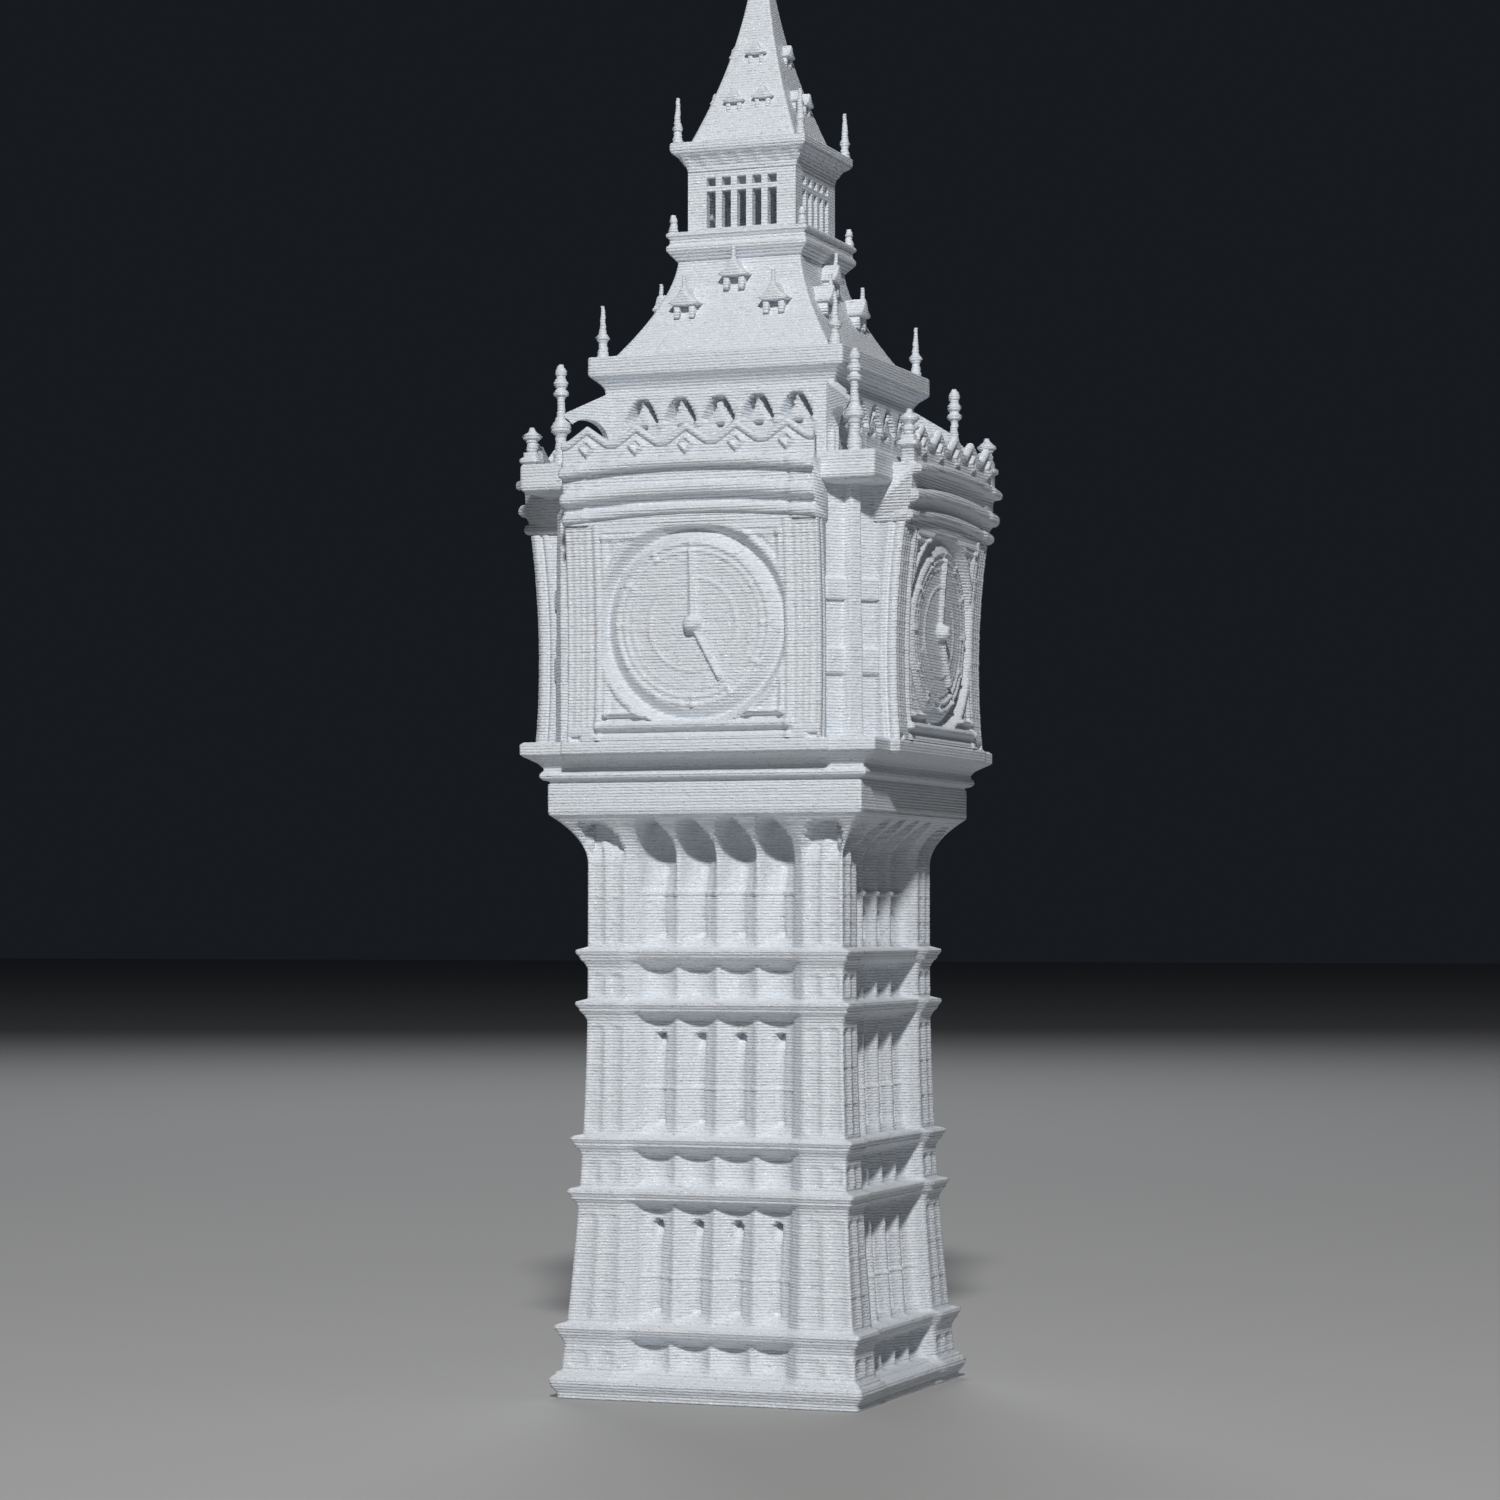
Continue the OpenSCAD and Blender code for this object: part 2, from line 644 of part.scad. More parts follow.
module spike(height, radius) turned([
    [1.2 * radius, 0], [radius, 0.05 * height], [0.75 * radius, 0.3 * height],
    [1.35 * radius, 0.36 * height], [1.35 * radius, 0.42 * height], [0.75 * radius, 0.48 * height],
    [0.35 * radius, height]
]);

module eave_spikes() color(plastic)
    four_faces() translate([eave_half - 0.8, eave_half - 0.8, z_roof]) spike(3.6, 0.36);

// gable with an ogee hood: a solid from the roof out to a plane, its foot at x, z
hood = [[0.5, 0], [0.5, 0.55], [0.62, 0.68], [0.42, 0.9], [0.22, 1.15], [0.1, 1.5], [0.07, 2.1]];
module gable(x, z, size, plane, opening) {
    difference() {
        translate([x, -plane, z]) rotate([90, 0, 0]) translate([0, 0, -big / 4])
            linear_extrude(big / 4) scale(size) polygon(both_sides(hood));
        translate([x, -plane, z + 0.15 * size]) sunk(0.5)
            pointed_shape(opening, 0.75 * size, opening);
    }
}

// dormers, each [across, share of the roof's height, size, share of the way out to the eave]
dormer_places = [[0, 0.5, 1.3, 0.36], [-0.3, 0.14, 1.3, 0.62], [0.3, 0.14, 1.3, 0.62]];
module dormers() color(plastic)
    four_faces() for (d = dormer_places) difference() {
        gable(0.6 * d[0] * belfry_w, z_roof + d[1] * roof_h, d[2],
              roof_top_half + d[3] * (eave_half - roof_top_half), 0.5);
        four_sided(roof_outline);
        translate([-big / 2, -2, 0]) cube([big, big, 2 * big]);
    }

module gallery() color(plastic) four_sided([
    [roof_top_half, z_gallery], [gallery_half - 0.1, z_gallery + 0.3 * gallery_h],
    [gallery_half, z_gallery + 0.35 * gallery_h], [gallery_half, z_gallery + 0.5 * gallery_h],
    [gallery_half - 0.2, z_gallery + 0.58 * gallery_h], [gallery_half - 0.2, z_gallery + 0.78 * gallery_h],
    [gallery_half, z_gallery + 0.86 * gallery_h], [gallery_half, z_lantern]
]);

module gallery_posts() color(plastic)
    four_faces() translate([gallery_half - 0.6, gallery_half - 0.6, z_lantern])
        cube([0.55, 0.55, 0.9]);

// open room with slim posts: tall openings, and a row of small ones over a transom
module lantern() color(plastic) {
    shell = 0.6;
    post = 1.15;
    pitch = (2 * lantern_half - 2 * post) / lantern_openings;
    open_w = 0.6 * pitch;
    difference() {
        translate([-lantern_half, -lantern_half, z_lantern])
            cube([2 * lantern_half, 2 * lantern_half, lantern_h]);
        translate([-lantern_half + shell, -lantern_half + shell, z_lantern + 0.35])
            cube([2 * (lantern_half - shell), 2 * (lantern_half - shell), lantern_h - 0.7]);
        for (a = [0, 90], i = [0:lantern_openings - 1]) rotate(a)
            translate([(i - (lantern_openings - 1) / 2) * pitch - open_w / 2, -big / 2, z_lantern + 0.35]) {
                cube([open_w, big, 0.6 * lantern_h]);
                translate([0, 0, 0.68 * lantern_h]) cube([open_w, big, 0.14 * lantern_h]);
            }
    }
}

module upper_eave() color(plastic) four_sided([
    [lantern_half, z_upper_eave], [lantern_half + 0.12, z_upper_eave + 0.25 * upper_eave_h],
    [lantern_half + 0.4, z_upper_eave + 0.48 * upper_eave_h],
    [upper_eave_half, z_upper_eave + 0.66 * upper_eave_h], [upper_eave_half, z_spire]
]);

module upper_spikes() color(plastic)
    four_faces() translate([upper_eave_half - 0.45, upper_eave_half - 0.45, z_spire]) spike(2.7, 0.34);

spire_tip = 0.3;
spire_outline = swept(upper_eave_half - 1.05, spire_tip, z_spire, spire_h, 1.9, 10);
module spire() color(plastic) four_sided(spire_outline);

// low hoods on the spire, each [across, share of the spire's height, how far out]
lucarne_places = [[-0.95, 0.17, 3.1], [0.95, 0.17, 3.1], [0, 0.37, 2.15]];
module lucarnes() color(plastic)
    four_faces() for (d = lucarne_places) difference() {
        gable(d[0], z_spire + d[1] * spire_h, 0.75, d[2] / 3.9 * (upper_eave_half - 1.05), 0.3);
        four_sided(spire_outline);
        translate([-big / 2, -0.5, 0]) cube([big, big, 2 * big]);
    }

module spire_finial() color(plastic) translate([0, 0, z_spire_top])
    turned([
        [0.28, 0], [0.22, 0.5], [0.5, 0.8], [0.5, 1], [0.2, 1.3], [0.15, 2], [0.3, 2.2], [0.06, 3.2]
    ]);

foot_moulding();
plinth_stage();
string_course_1();
lower_stage();
string_course_2();
lower_band();
string_course_3();
middle_stage();
string_course_4();
upper_band();
string_course_5();
upper_stage();
corbel_table();
frieze();
ledge_moulding();
clock_core();
corner_ribs();
clock_front();
clock_right();
clock_back();
clock_left();
dials();
spandrels();
clock_hands();
upper_cornice();
parapets();
corner_pinnacles();
bud_finials();
belfry();
flying_buttresses();
lower_eave();
eave_spikes();
lower_roof();
dormers();
gallery();
gallery_posts();
lantern();
upper_eave();
upper_spikes();
spire();
lucarnes();
spire_finial();
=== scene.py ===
import math
import bpy
import numpy as np
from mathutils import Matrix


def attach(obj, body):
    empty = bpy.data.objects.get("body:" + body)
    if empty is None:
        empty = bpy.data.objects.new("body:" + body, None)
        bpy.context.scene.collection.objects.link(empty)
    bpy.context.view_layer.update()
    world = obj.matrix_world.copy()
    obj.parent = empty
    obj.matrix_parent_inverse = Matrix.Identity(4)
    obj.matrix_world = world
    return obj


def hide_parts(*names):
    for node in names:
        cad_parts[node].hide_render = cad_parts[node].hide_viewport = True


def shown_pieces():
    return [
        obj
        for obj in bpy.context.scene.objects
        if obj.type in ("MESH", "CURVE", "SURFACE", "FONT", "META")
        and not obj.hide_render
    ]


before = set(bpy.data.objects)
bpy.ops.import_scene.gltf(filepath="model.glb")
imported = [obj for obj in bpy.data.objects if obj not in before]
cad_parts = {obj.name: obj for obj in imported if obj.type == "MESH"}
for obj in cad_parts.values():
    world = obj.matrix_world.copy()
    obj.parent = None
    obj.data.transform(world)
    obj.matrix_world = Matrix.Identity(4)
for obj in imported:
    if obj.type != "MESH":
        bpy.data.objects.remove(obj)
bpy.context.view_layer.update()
print("loaded", len(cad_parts), "nodes")

# every length is in millimetres until makePiece turns it into metres
printLook = {
    "layer": 0.2, "row": 0.1, "layers": 800,
    "bead": 0.02, "layerJitter": 0.011, "slowWave": 0.0072,
}
chance = np.random.default_rng(11)
layerShift = np.clip(chance.normal(0.0, 1.0, printLook["layers"]), -1.6, 1.2)
layerPhase = chance.uniform(0.0, 6.283, printLook["layers"])
layerPitch = chance.uniform(0.5, 1.9, printLook["layers"])


# smooth rise from 0 at low to 1 at high: three times the square of the share less twice its cube
def softStep(value, low, high):
    t = np.clip((value - low) / (high - low), 0.0, 1.0)
    return t * t * (3.0 - 2.0 * t)


# 1 between low and high and 0 outside, with edges as wide as soft
def band(value, low, high, soft):
    rise = softStep(value, low - soft / 2, low + soft / 2)
    fall = softStep(value, high - soft / 2, high + soft / 2)
    return rise * (1.0 - fall)


# smooth hill of height 1: e to the minus power of the distance over the width
def swell(value, at, wide, power=2):
    return np.exp(-((value - at) / wide) ** power)


# how far the printed bead stands out at x along a wall and height z:
# a crest in the middle of each layer, a shift of the whole layer and a slow wave along it
def beadOut(x, z, side=0):
    level = z / printLook["layer"] + 1e-4
    layer = np.floor(level).astype(int) % printLook["layers"]
    share = z / printLook["layer"] - np.floor(level)
    crest = np.sin(np.pi * np.clip(share, 0.0, 1.0))
    pick = (layer + 37 * side) % printLook["layers"]
    turn = x * layerPitch[pick]
    wave = np.sin(turn + layerPhase[pick]) + 0.6 * np.sin(3.1 * turn + 2.0 * layerPhase[pick])
    return (printLook["bead"] * crest + printLook["layerJitter"] * layerShift[pick]
            + printLook["slowWave"] * wave)


# mesh object from points, an array of four-cornered faces and a list of faces with more corners
def makePiece(name, points, quads, extraFaces=(), replaced=()):
    mesh = bpy.data.meshes.new(name)
    points = np.asarray(points, dtype=np.float32).reshape(-1, 3) * 0.001
    corners = [np.asarray(quads).reshape(-1)] + [np.asarray(face) for face in extraFaces]
    corners = np.concatenate(corners).astype(np.int32)
    sizes = np.array([4] * len(quads) + [len(face) for face in extraFaces])
    mesh.vertices.add(len(points))
    mesh.vertices.foreach_set("co", points.ravel())
    mesh.loops.add(len(corners))
    mesh.loops.foreach_set("vertex_index", corners)
    mesh.polygons.add(len(sizes))
    mesh.polygons.foreach_set("loop_start", (np.cumsum(sizes) - sizes).astype(np.int32))
    mesh.polygons.foreach_set("use_smooth", np.ones(len(sizes), dtype=bool))
    mesh.update(calc_edges=True)
    mesh.validate()
    piece = bpy.data.objects.new(name, mesh)
    bpy.context.scene.collection.objects.link(piece)
    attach(piece, "root")
    if replaced:
        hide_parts(*replaced)
    return piece


# faces between neighbouring rows and columns of a grid; closed joins the last column to the first
def gridQuads(rows, cols, closed, start=0):
    r = np.arange(rows - 1)[:, None]
    c = np.arange(cols if closed else cols - 1)[None, :]
    a = r * cols + c
    b = r * cols + (c + 1) % cols
    return np.stack([a, b, b + cols, a + cols], axis=-1).reshape(-1, 4) + start


# the same points, turned about the tower's axis by quarter turns
def turnedBy(points, quarter):
    x, y, z = points[..., 0], points[..., 1], points[..., 2]
    c, s = [(1, 0), (0, 1), (-1, 0), (0, -1)][quarter]
    return np.stack([c * x - s * y, s * x + c * y, z], axis=-1)


# heights of the grid's rows, two to a layer
def rowsBetween(low, high):
    return np.linspace(low, high, int(round((high - low) / printLook["row"])) + 1)


# rows and half widths along an outline of (height, half width), with a last row that closes it inwards
def outlineRows(outline, low, high, inner):
    outline = np.array(outline)
    z = rowsBetween(low, high)
    return np.append(z, high), np.append(np.interp(z, outline[:, 0], outline[:, 1]), inner)


skin = {"edge": 0.035, "roundOver": 0.09, "beadFade": 0.1, "crowd": 1.15}


# closed four-sided skin: on each side the wall stands at half(z) - depth(x, z), and x runs corner to
# corner, fixed within the middle and stretched outside it; the sides are quarter turns of one another
def towerSkin(name, z, half, depth, middle, steps, replaced, lids=(False, False), texture=1.0):
    inner = np.linspace(-middle, middle, steps[0])
    outer = 1.0 - (1.0 - np.linspace(0.0, 1.0, steps[1] + 1)[1:]) ** skin["crowd"]
    reach = (half - skin["edge"])[:, None]
    right = middle + outer[None, :] * (reach - middle)
    x = np.concatenate([-right[:, ::-1], np.repeat(inner[None, :], len(z), axis=0), right], axis=1)
    zz = np.repeat(z[:, None], x.shape[1], axis=1)
    share = np.clip((np.abs(x) - middle) / (reach - middle), 0.0, 1.0)
    cut = depth(x, zz, share, half[:, None])
    past = half[:, None] - np.abs(x) - skin["edge"]
    corner = skin["edge"] * np.clip(1.0 - past / skin["roundOver"], 0.0, 1.0) ** 2
    fade = np.clip(past / skin["beadFade"], 0.0, 1.0) * texture
    sides = []
    for quarter in range(4):
        stand = half[:, None] - cut - corner + beadOut(x, zz, quarter) * fade
        sides.append(turnedBy(np.stack([x, -stand, zz], axis=-1), quarter)[:, :-1])
    points = np.concatenate(sides, axis=1)
    cols = points.shape[1]
    faces = []
    if lids[0]:
        faces.append(np.arange(cols)[::-1])
    if lids[1]:
        faces.append((len(z) - 1) * cols + np.arange(cols))
    return makePiece(name, points, gridQuads(len(z), cols, True), faces, replaced)


def plainDepth(x, z, share, half):
    return 0.0 * x


# shaft: foot, plinth, string courses, window stages and corbels
shaft = {
    "half": 9.15, "batter": 1.5, "batterTop": 29.0, "zone": 6.35, "reveal": 1.0, "setBack": 0.8,
    "pitch": 2.85, "ridge": 0.13, "nicheDeep": 0.6, "nicheRise": 0.75, "barReach": 5.45,
    "lancet": 0.36, "lancetDeep": 0.42, "head": 0.4, "headDrop": 0.7, "sill": 0.55, "sillDeep": 0.5,
    "pierWide": 2.8, "panelDeep": 0.15, "pierRidge": 0.1,
    "footHigh": 1.9, "courses": [3.6, 12.65, 16.15, 25.2, 28.7], "courseHigh": 1.45,
    "stages": [(5.05, 12.65), (17.6, 25.2), (30.15, 35.7)],
    "bands": [(1.9, 3.6), (14.1, 16.15), (26.65, 28.7)],
    "corbel": (35.7, 39.1), "corbelHalf": 11.2, "corbelCurve": 2.1, "corbelBack": 0.35, "tip": 2.3,
    "courseShape": [(0, 0), (0.12, 0.07), (0.3, 0.2), (0.45, 0.4), (0.6, 0.46), (0.7, 0.6),
                    (0.8, 0.66), (0.9, 0.6), (0.96, 0.3), (1, 0.1)],
    "footShape": [(0, 0.0), (0.2, 0.08), (0.42, 0.42), (0.6, 0.58), (0.74, 0.56), (0.84, 0.34), (1, 0.22)],
}


# how far the foot and the string courses stand out, from their outlines of (share of height, out)
def shaftLip(z):
    shape = np.array(shaft["footShape"])
    share = z / shaft["footHigh"]
    lip = np.where(share <= 1.0, np.interp(share, shape[:, 0], shape[:, 1]), 0.0)
    shape = np.array(shaft["courseShape"])
    for start in shaft["courses"]:
        t = (z - start) / shaft["courseHigh"]
        lip = lip + np.where((t >= 0) & (t <= 1), np.interp(t, shape[:, 0], shape[:, 1]), 0.0)
    return lip


def corbelShare(z):
    low, high = shaft["corbel"]
    return np.clip((z - low) / (high - low), 0.0, 1.0)


# half width: the shaft, a batter that grows as the square of the depth below its top, the mouldings,
# and a corbel that flares as a power of its height
def shaftHalf(z):
    plain = shaft["half"] + shaft["batter"] * np.clip(1.0 - z / shaft["batterTop"], 0.0, 1.0) ** 2
    flare = (shaft["corbelHalf"] - shaft["half"]) * corbelShare(z) ** shaft["corbelCurve"]
    return plain + shaftLip(z) + flare


# 1 inside a pointed arch: its half width is full up to a third of its height, then falls as an arc
def pointedInside(across, up, wide, high, soft):
    past = np.clip((up / high - 0.35) / 0.65, 0.0, 1.0)
    edge = wide * np.sqrt(1.0 - past ** 1.7)
    return softStep(edge - np.abs(across), -soft / 2, soft / 2) * (up < high)


# set-back of the window zone between the piers, less where a moulding passes and none at the foot
def zoneDepth(x, z):
    s = shaft
    lip = shaftLip(z)
    kept = np.maximum(softStep(lip, 0.1, 0.5), 1.6 * (1.0 - softStep(z, 1.2, 1.9)))
    setBack = s["setBack"] * (1.0 - softStep(corbelShare(z), 0.15, 0.95)) * (1.0 - 0.55 * kept)
    return setBack * np.clip((s["zone"] + 0.35 * lip - np.abs(x)) / s["reveal"], 0.0, 1.0)


# how far a niche is open at z: it rises from each sill and closes under each moulding
def nicheOpen(z):
    niche = np.zeros_like(z)
    for low, high in shaft["bands"] + shaft["stages"]:
        top = 99.0 if high == shaft["corbel"][0] else high
        rise = np.clip((z - low + 0.08) / shaft["nicheRise"], 0.0, 1.0) ** 0.6
        niche = np.maximum(niche, rise * (1.0 - softStep(z, top - 0.05, top + 0.6)) * (z > low - 0.08))
    return niche


# lancet in the middle of each niche, deep under its round head and over its sill, less a bar across
def lancetDepth(x, u, z, low, high):
    s = shaft
    underCorbel = high == s["corbel"][0]
    up = high + (1.0 if underCorbel else -s["headDrop"]) - z
    wide = s["lancet"] * np.sqrt(np.clip(1.0 - np.clip(1.0 - up / s["head"], 0.0, 1.0) ** 2, 0.0, 1.0))
    deep = 0.4 * s["lancetDeep"]
    if not underCorbel:
        deep = deep + 3.2 * s["lancetDeep"] * np.exp(-np.clip(up, 0.0, None) / 0.6)
    deep = deep + s["sillDeep"] * np.exp(-np.clip(z - low - 0.8, 0.0, None) / 0.5)
    sill = np.clip((z - low - s["sill"]) / 0.4, 0.0, 1.0)
    cut = deep * softStep(wide - u, -0.05, 0.07) * sill * (up > 0) * (z < high + 0.001)
    share, tall, out = (0.66, 0.16, 0.22) if underCorbel else (0.41, 0.09, 0.14)
    return cut - out * swell(z, low + share * (high - low), tall, 4) * (np.abs(x) < s["barReach"])


# two sunk panels on each pier with a ridge between them, crossed by thin bars
def panelDepth(z, fromRidge):
    tall = np.zeros_like(z)
    for low, high in shaft["bands"] + shaft["stages"]:
        bottom = low + 0.25
        headRound = 0.25 * np.clip(np.abs(fromRidge - 0.23) / 0.15, 0.0, 1.0) ** 2
        top = 99.0 if high == shaft["corbel"][0] else high - 0.3 - headRound
        tall = np.maximum(tall, softStep(z, bottom, bottom + 0.12) * (1.0 - softStep(z, top - 0.1, top)))
        if high - low > 4:
            for share in (0.3, 0.62):
                tall = tall * (1.0 - 0.6 * swell(z, low + share * (high - low), 0.09))
    panel = band(fromRidge, 0.07, 0.4, 0.05)
    return (shaft["panelDeep"] * panel - shaft["pierRidge"] * swell(fromRidge, 0.0, 0.045)) * tall


def shaftDepth(x, z, share, half):
    s = shaft
    low, high = s["corbel"]
    t = corbelShare(z)
    below = z < low + 0.001
    u = np.abs((x + 2 * s["pitch"]) % s["pitch"] - s["pitch"] / 2)  # distance from the niche's middle
    u = np.where(np.abs(x) > 2 * s["pitch"], 9.0, u)
    span = s["pitch"] / 2 - s["ridge"]
    hollow = s["nicheDeep"] * np.clip(1.0 - (u / span) ** 2, 0.0, 1.0) ** 0.85
    cut = zoneDepth(x, z) + hollow * nicheOpen(z) * below
    for start, end in s["stages"]:
        cut = cut + lancetDepth(x, u, z, start, end)
    # pointed hollows between the corbels, deepening out of the niches below
    cut = cut + 1.5 * np.clip(1.0 - (low - z) / s["tip"], 0.0, 1.0) * hollow * (z < low)
    arch = pointedInside(u, z - low + 0.2, s["pitch"] / 2 - 0.17, high - low - 0.1, 0.12)
    back = s["half"] - s["setBack"] - s["corbelBack"] * softStep(t, 0.0, 0.2)
    back = back - 2.5 * hollow * (1.0 - 0.5 * softStep(t, 0.3, 1.0))
    cut = np.where(z >= low, arch * (half - back) + (1.0 - arch) * cut, cut)
    # piers: panels below, one big arch with the end of the ridge in it above
    pier = share > 0.0
    cut = cut + np.where(pier & below, panelDepth(z, np.abs(share - 0.5)), 0.0)
    across = (share - 0.5) * s["pierWide"]
    bigArch = pointedInside(across, z - low + 0.6, 1.25, high - low + 0.1, 0.12)
    ridge = softStep(0.2 - np.abs(across), -0.06, 0.06) * (1.0 - softStep(z, low + 1.3, low + 1.75))
    back = s["half"] - 0.1 - 0.3 * softStep(t, 0.0, 0.4)
    arched = (half - back) * (1.0 - ridge) + (half - s["half"] - 0.1) * ridge
    return np.where(pier & (z >= low), bigArch * arched, cut)


for name, low, high, nodes in [
    ("shaftFoot", 0.0, 13.3, ["foot_moulding", "plinth_stage", "string_course_1", "lower_stage"]),
    ("shaftMiddle", 13.3, 26.1, ["string_course_2", "lower_band", "string_course_3", "middle_stage"]),
    ("shaftTop", 26.1, 39.1, ["string_course_4", "upper_band", "string_course_5", "upper_stage",
                              "corbel_table"]),
]:
    z = rowsBetween(low, high)
    lids = (name == "shaftFoot", name == "shaftTop")
    towerSkin(name, z, shaftHalf(z), shaftDepth, shaft["zone"], (84, 14), nodes, lids)
print("shaft done")

# frieze and ledge: a plain band, a roll, a hollow and a broad lip that steps forward under each face
ledge = {
    "low": 39.1, "high": 43.9, "inner": 10.6, "zone": 9.0, "arm": 9.45, "armOut": 0.55,
    "shape": [(39.1, 11.12), (39.22, 11.2), (41.1, 11.2), (41.2, 11.1), (41.3, 11.12), (41.38, 11.45),
              (41.6, 11.66), (41.85, 11.62), (41.98, 11.45), (42.15, 11.42), (42.5, 11.7), (42.8, 12.2),
              (42.95, 12.5), (43.1, 12.65), (43.7, 12.65), (43.84, 12.58), (43.9, 12.45)],
}


def ledgeDepth(x, z, share, half):
    grow = softStep(z, 42.6, 43.0) * (half > 11.4)
    return -ledge["armOut"] * grow * softStep(ledge["arm"] - np.abs(x), -0.04, 0.04)


z, half = outlineRows(ledge["shape"], ledge["low"], ledge["high"], ledge["inner"])
towerSkin("ledge", z, half, ledgeDepth, ledge["zone"], (60, 24), ["frieze", "ledge_moulding"], (True, True))
print("ledge done")

# clock faces: leaning field with pilasters, frame, dial and hands, as heights out of one curved plane
clock = {
    "low": 43.9, "high": 58.25, "half": 8.95, "back": 10.6,
    "waist": 12.85, "waistZ": 49.35, "curve": 63.0, "centre": 51.5, "square": 6.42,
    "ring": 6.25, "slope": 0.62, "valley": -0.65, "spandrel": 0.12, "dial": -0.1,
    "frameRoll": (6.75, 0.17, 0.16), "flutes": [(7.15, 0.1), (7.7, 0.08), (8.1, 0.08), (8.62, 0.16)],
    "fluteDeep": 0.09,
    "rings": [(5.35, 0.12, 0.18), (4.85, 0.1, 0.18), (4.3, 0.09, 0.12), (3.12, 0.11, 0.16)],
    "boss": (3.05, 0.08), "hub": (0.55, 0.85), "tick": (0.16, 0.11, 4.75, 5.5),
    "hands": [(0.0, 5.0, 0.22, 0.3), (152.0, 4.1, 0.18, 0.36)],
    "sideStrips": [(1.25, 0.1), (1.2, 0.0), (0.85, 0.0), (0.8, 0.14), (0.65, 0.14), (0.6, 0.0)],
}


# outside the square: a roll beside the frame, flutes in the pilasters with a notch at their foot,
# and a roll over a groove under the square
def pilasterHeight(x, z):
    c = clock
    ax = np.abs(x)
    at, wide, out = c["frameRoll"]
    high = out * swell(ax, at, wide, 4)
    for at, wide in c["flutes"]:
        high = high - c["fluteDeep"] * swell(ax, at, wide) * band(z, c["low"] + 0.9, c["high"] - 0.3, 0.15)
    high = high - 0.35 * band(ax, 8.1, 8.75, 0.1) * band(z, 43.0, 44.25, 0.1)
    middle = softStep(7.0 - ax, -0.05, 0.05)
    return high + middle * 0.28 * (swell(z, 44.85, 0.2, 4) - swell(z, 44.42, 0.14, 4))


# raised spandrels with a sunk field, sloping down to the valley round the dial, and bars above and below
def spandrelHeight(x, dz, r):
    c = clock
    rise = np.clip((r - c["ring"]) / c["slope"], 0.0, 1.0)
    field = c["valley"] + (c["spandrel"] - c["valley"]) * rise
    edge = c["square"] - np.maximum(np.abs(x), np.abs(dz))
    reach = np.minimum(edge, r - c["ring"] - c["slope"])
    field = field - 0.24 * softStep(reach, 0.3, 0.42) + 0.1 * softStep(reach, 0.62, 0.75)
    bars = band(np.abs(dz), 5.72, 6.0, 0.1) * (reach > 0.1) * np.where(dz < 0, 1.0, 0.6)
    return field + 0.3 * bars - 0.35 * band(-dz, 6.02, 6.35, 0.08) * (r > 6.95)


# disc with rings, twelve ticks, two hands and a hub; each hand is as far along and across as its turn gives
def dialHeight(x, dz, r):
    c = clock
    radius, tall = c["boss"]
    dial = c["dial"] + tall * softStep(radius - r, -0.07, 0.07)
    for radius, wide, tall in c["rings"]:
        dial = dial + tall * swell(r, radius, wide)
    hour = np.pi / 6
    across = np.abs((np.arctan2(x, dz) / hour + 0.5) % 1.0 - 0.5) * hour * r
    wide, tall, near, far = c["tick"]
    dial = dial + tall * softStep(wide - across, -0.04, 0.04) * band(r, near, far, 0.1)
    for turn, length, wide, tall in c["hands"]:
        a = math.radians(turn)
        along = x * math.sin(a) + dz * math.cos(a)
        across = np.abs(x * math.cos(a) - dz * math.sin(a))
        taper = wide * (1.0 - 0.25 * np.clip(along / length, 0.0, 1.0))
        hand = c["dial"] + 0.06 + tall * softStep(taper - across, -0.07, 0.07)
        dial = np.maximum(dial, np.where((along > -0.4) & (along < length), hand, -9.0))
    radius, tall = c["hub"]
    return np.maximum(dial, c["dial"] + tall * softStep(radius - r, -0.22, 0.25))


def clockField(x, z):
    c = clock
    dz = z - c["centre"]
    r = np.sqrt(x * x + dz * dz)
    bevel = np.clip((r - c["ring"] + c["slope"]) / c["slope"], 0.0, 1.0)
    bevel = c["dial"] + (c["valley"] - c["dial"]) * bevel
    inner = np.where(r < c["ring"], bevel, spandrelHeight(x, dz, r))
    inner = np.where(r < c["ring"] - c["slope"], dialHeight(x, dz, r), inner)
    inside = softStep(c["square"] - np.maximum(np.abs(x), np.abs(dz)), -0.05, 0.05)
    plane = c["waist"] + (z - c["waistZ"]) ** 2 / (2 * c["curve"])
    return plane + inside * inner + (1.0 - inside) * pilasterHeight(x, z)


z = rowsBetween(clock["low"], clock["high"])
x = np.linspace(-clock["half"], clock["half"], 130)
xx, zz = np.meshgrid(x, z)
field = clockField(xx, zz)
edge = field[:, 0]
columns = [(clock["back"] + 0.0 * edge, 0.1)] + [(edge - ahead, sunk) for ahead, sunk in clock["sideStrips"]]
left = [np.stack([np.full(len(z), sunk - clock["half"]), -stand, z], axis=-1) for stand, sunk in columns]
left = np.stack(left, axis=1)
right = left[:, ::-1] * np.array([-1.0, 1.0, 1.0])
for quarter, node in enumerate(["clock_front", "clock_right", "clock_back", "clock_left"]):
    face = np.stack([xx, -(field + beadOut(xx, zz, quarter)), zz], axis=-1)
    points = turnedBy(np.concatenate([left, face, right], axis=1), quarter)
    nodes = [node] + (["dials", "spandrels", "clock_hands"] if quarter == 0 else [])
    makePiece("clockFace" + str(quarter), points, gridQuads(len(z), points.shape[1], False), (), nodes)
print("clock faces done")

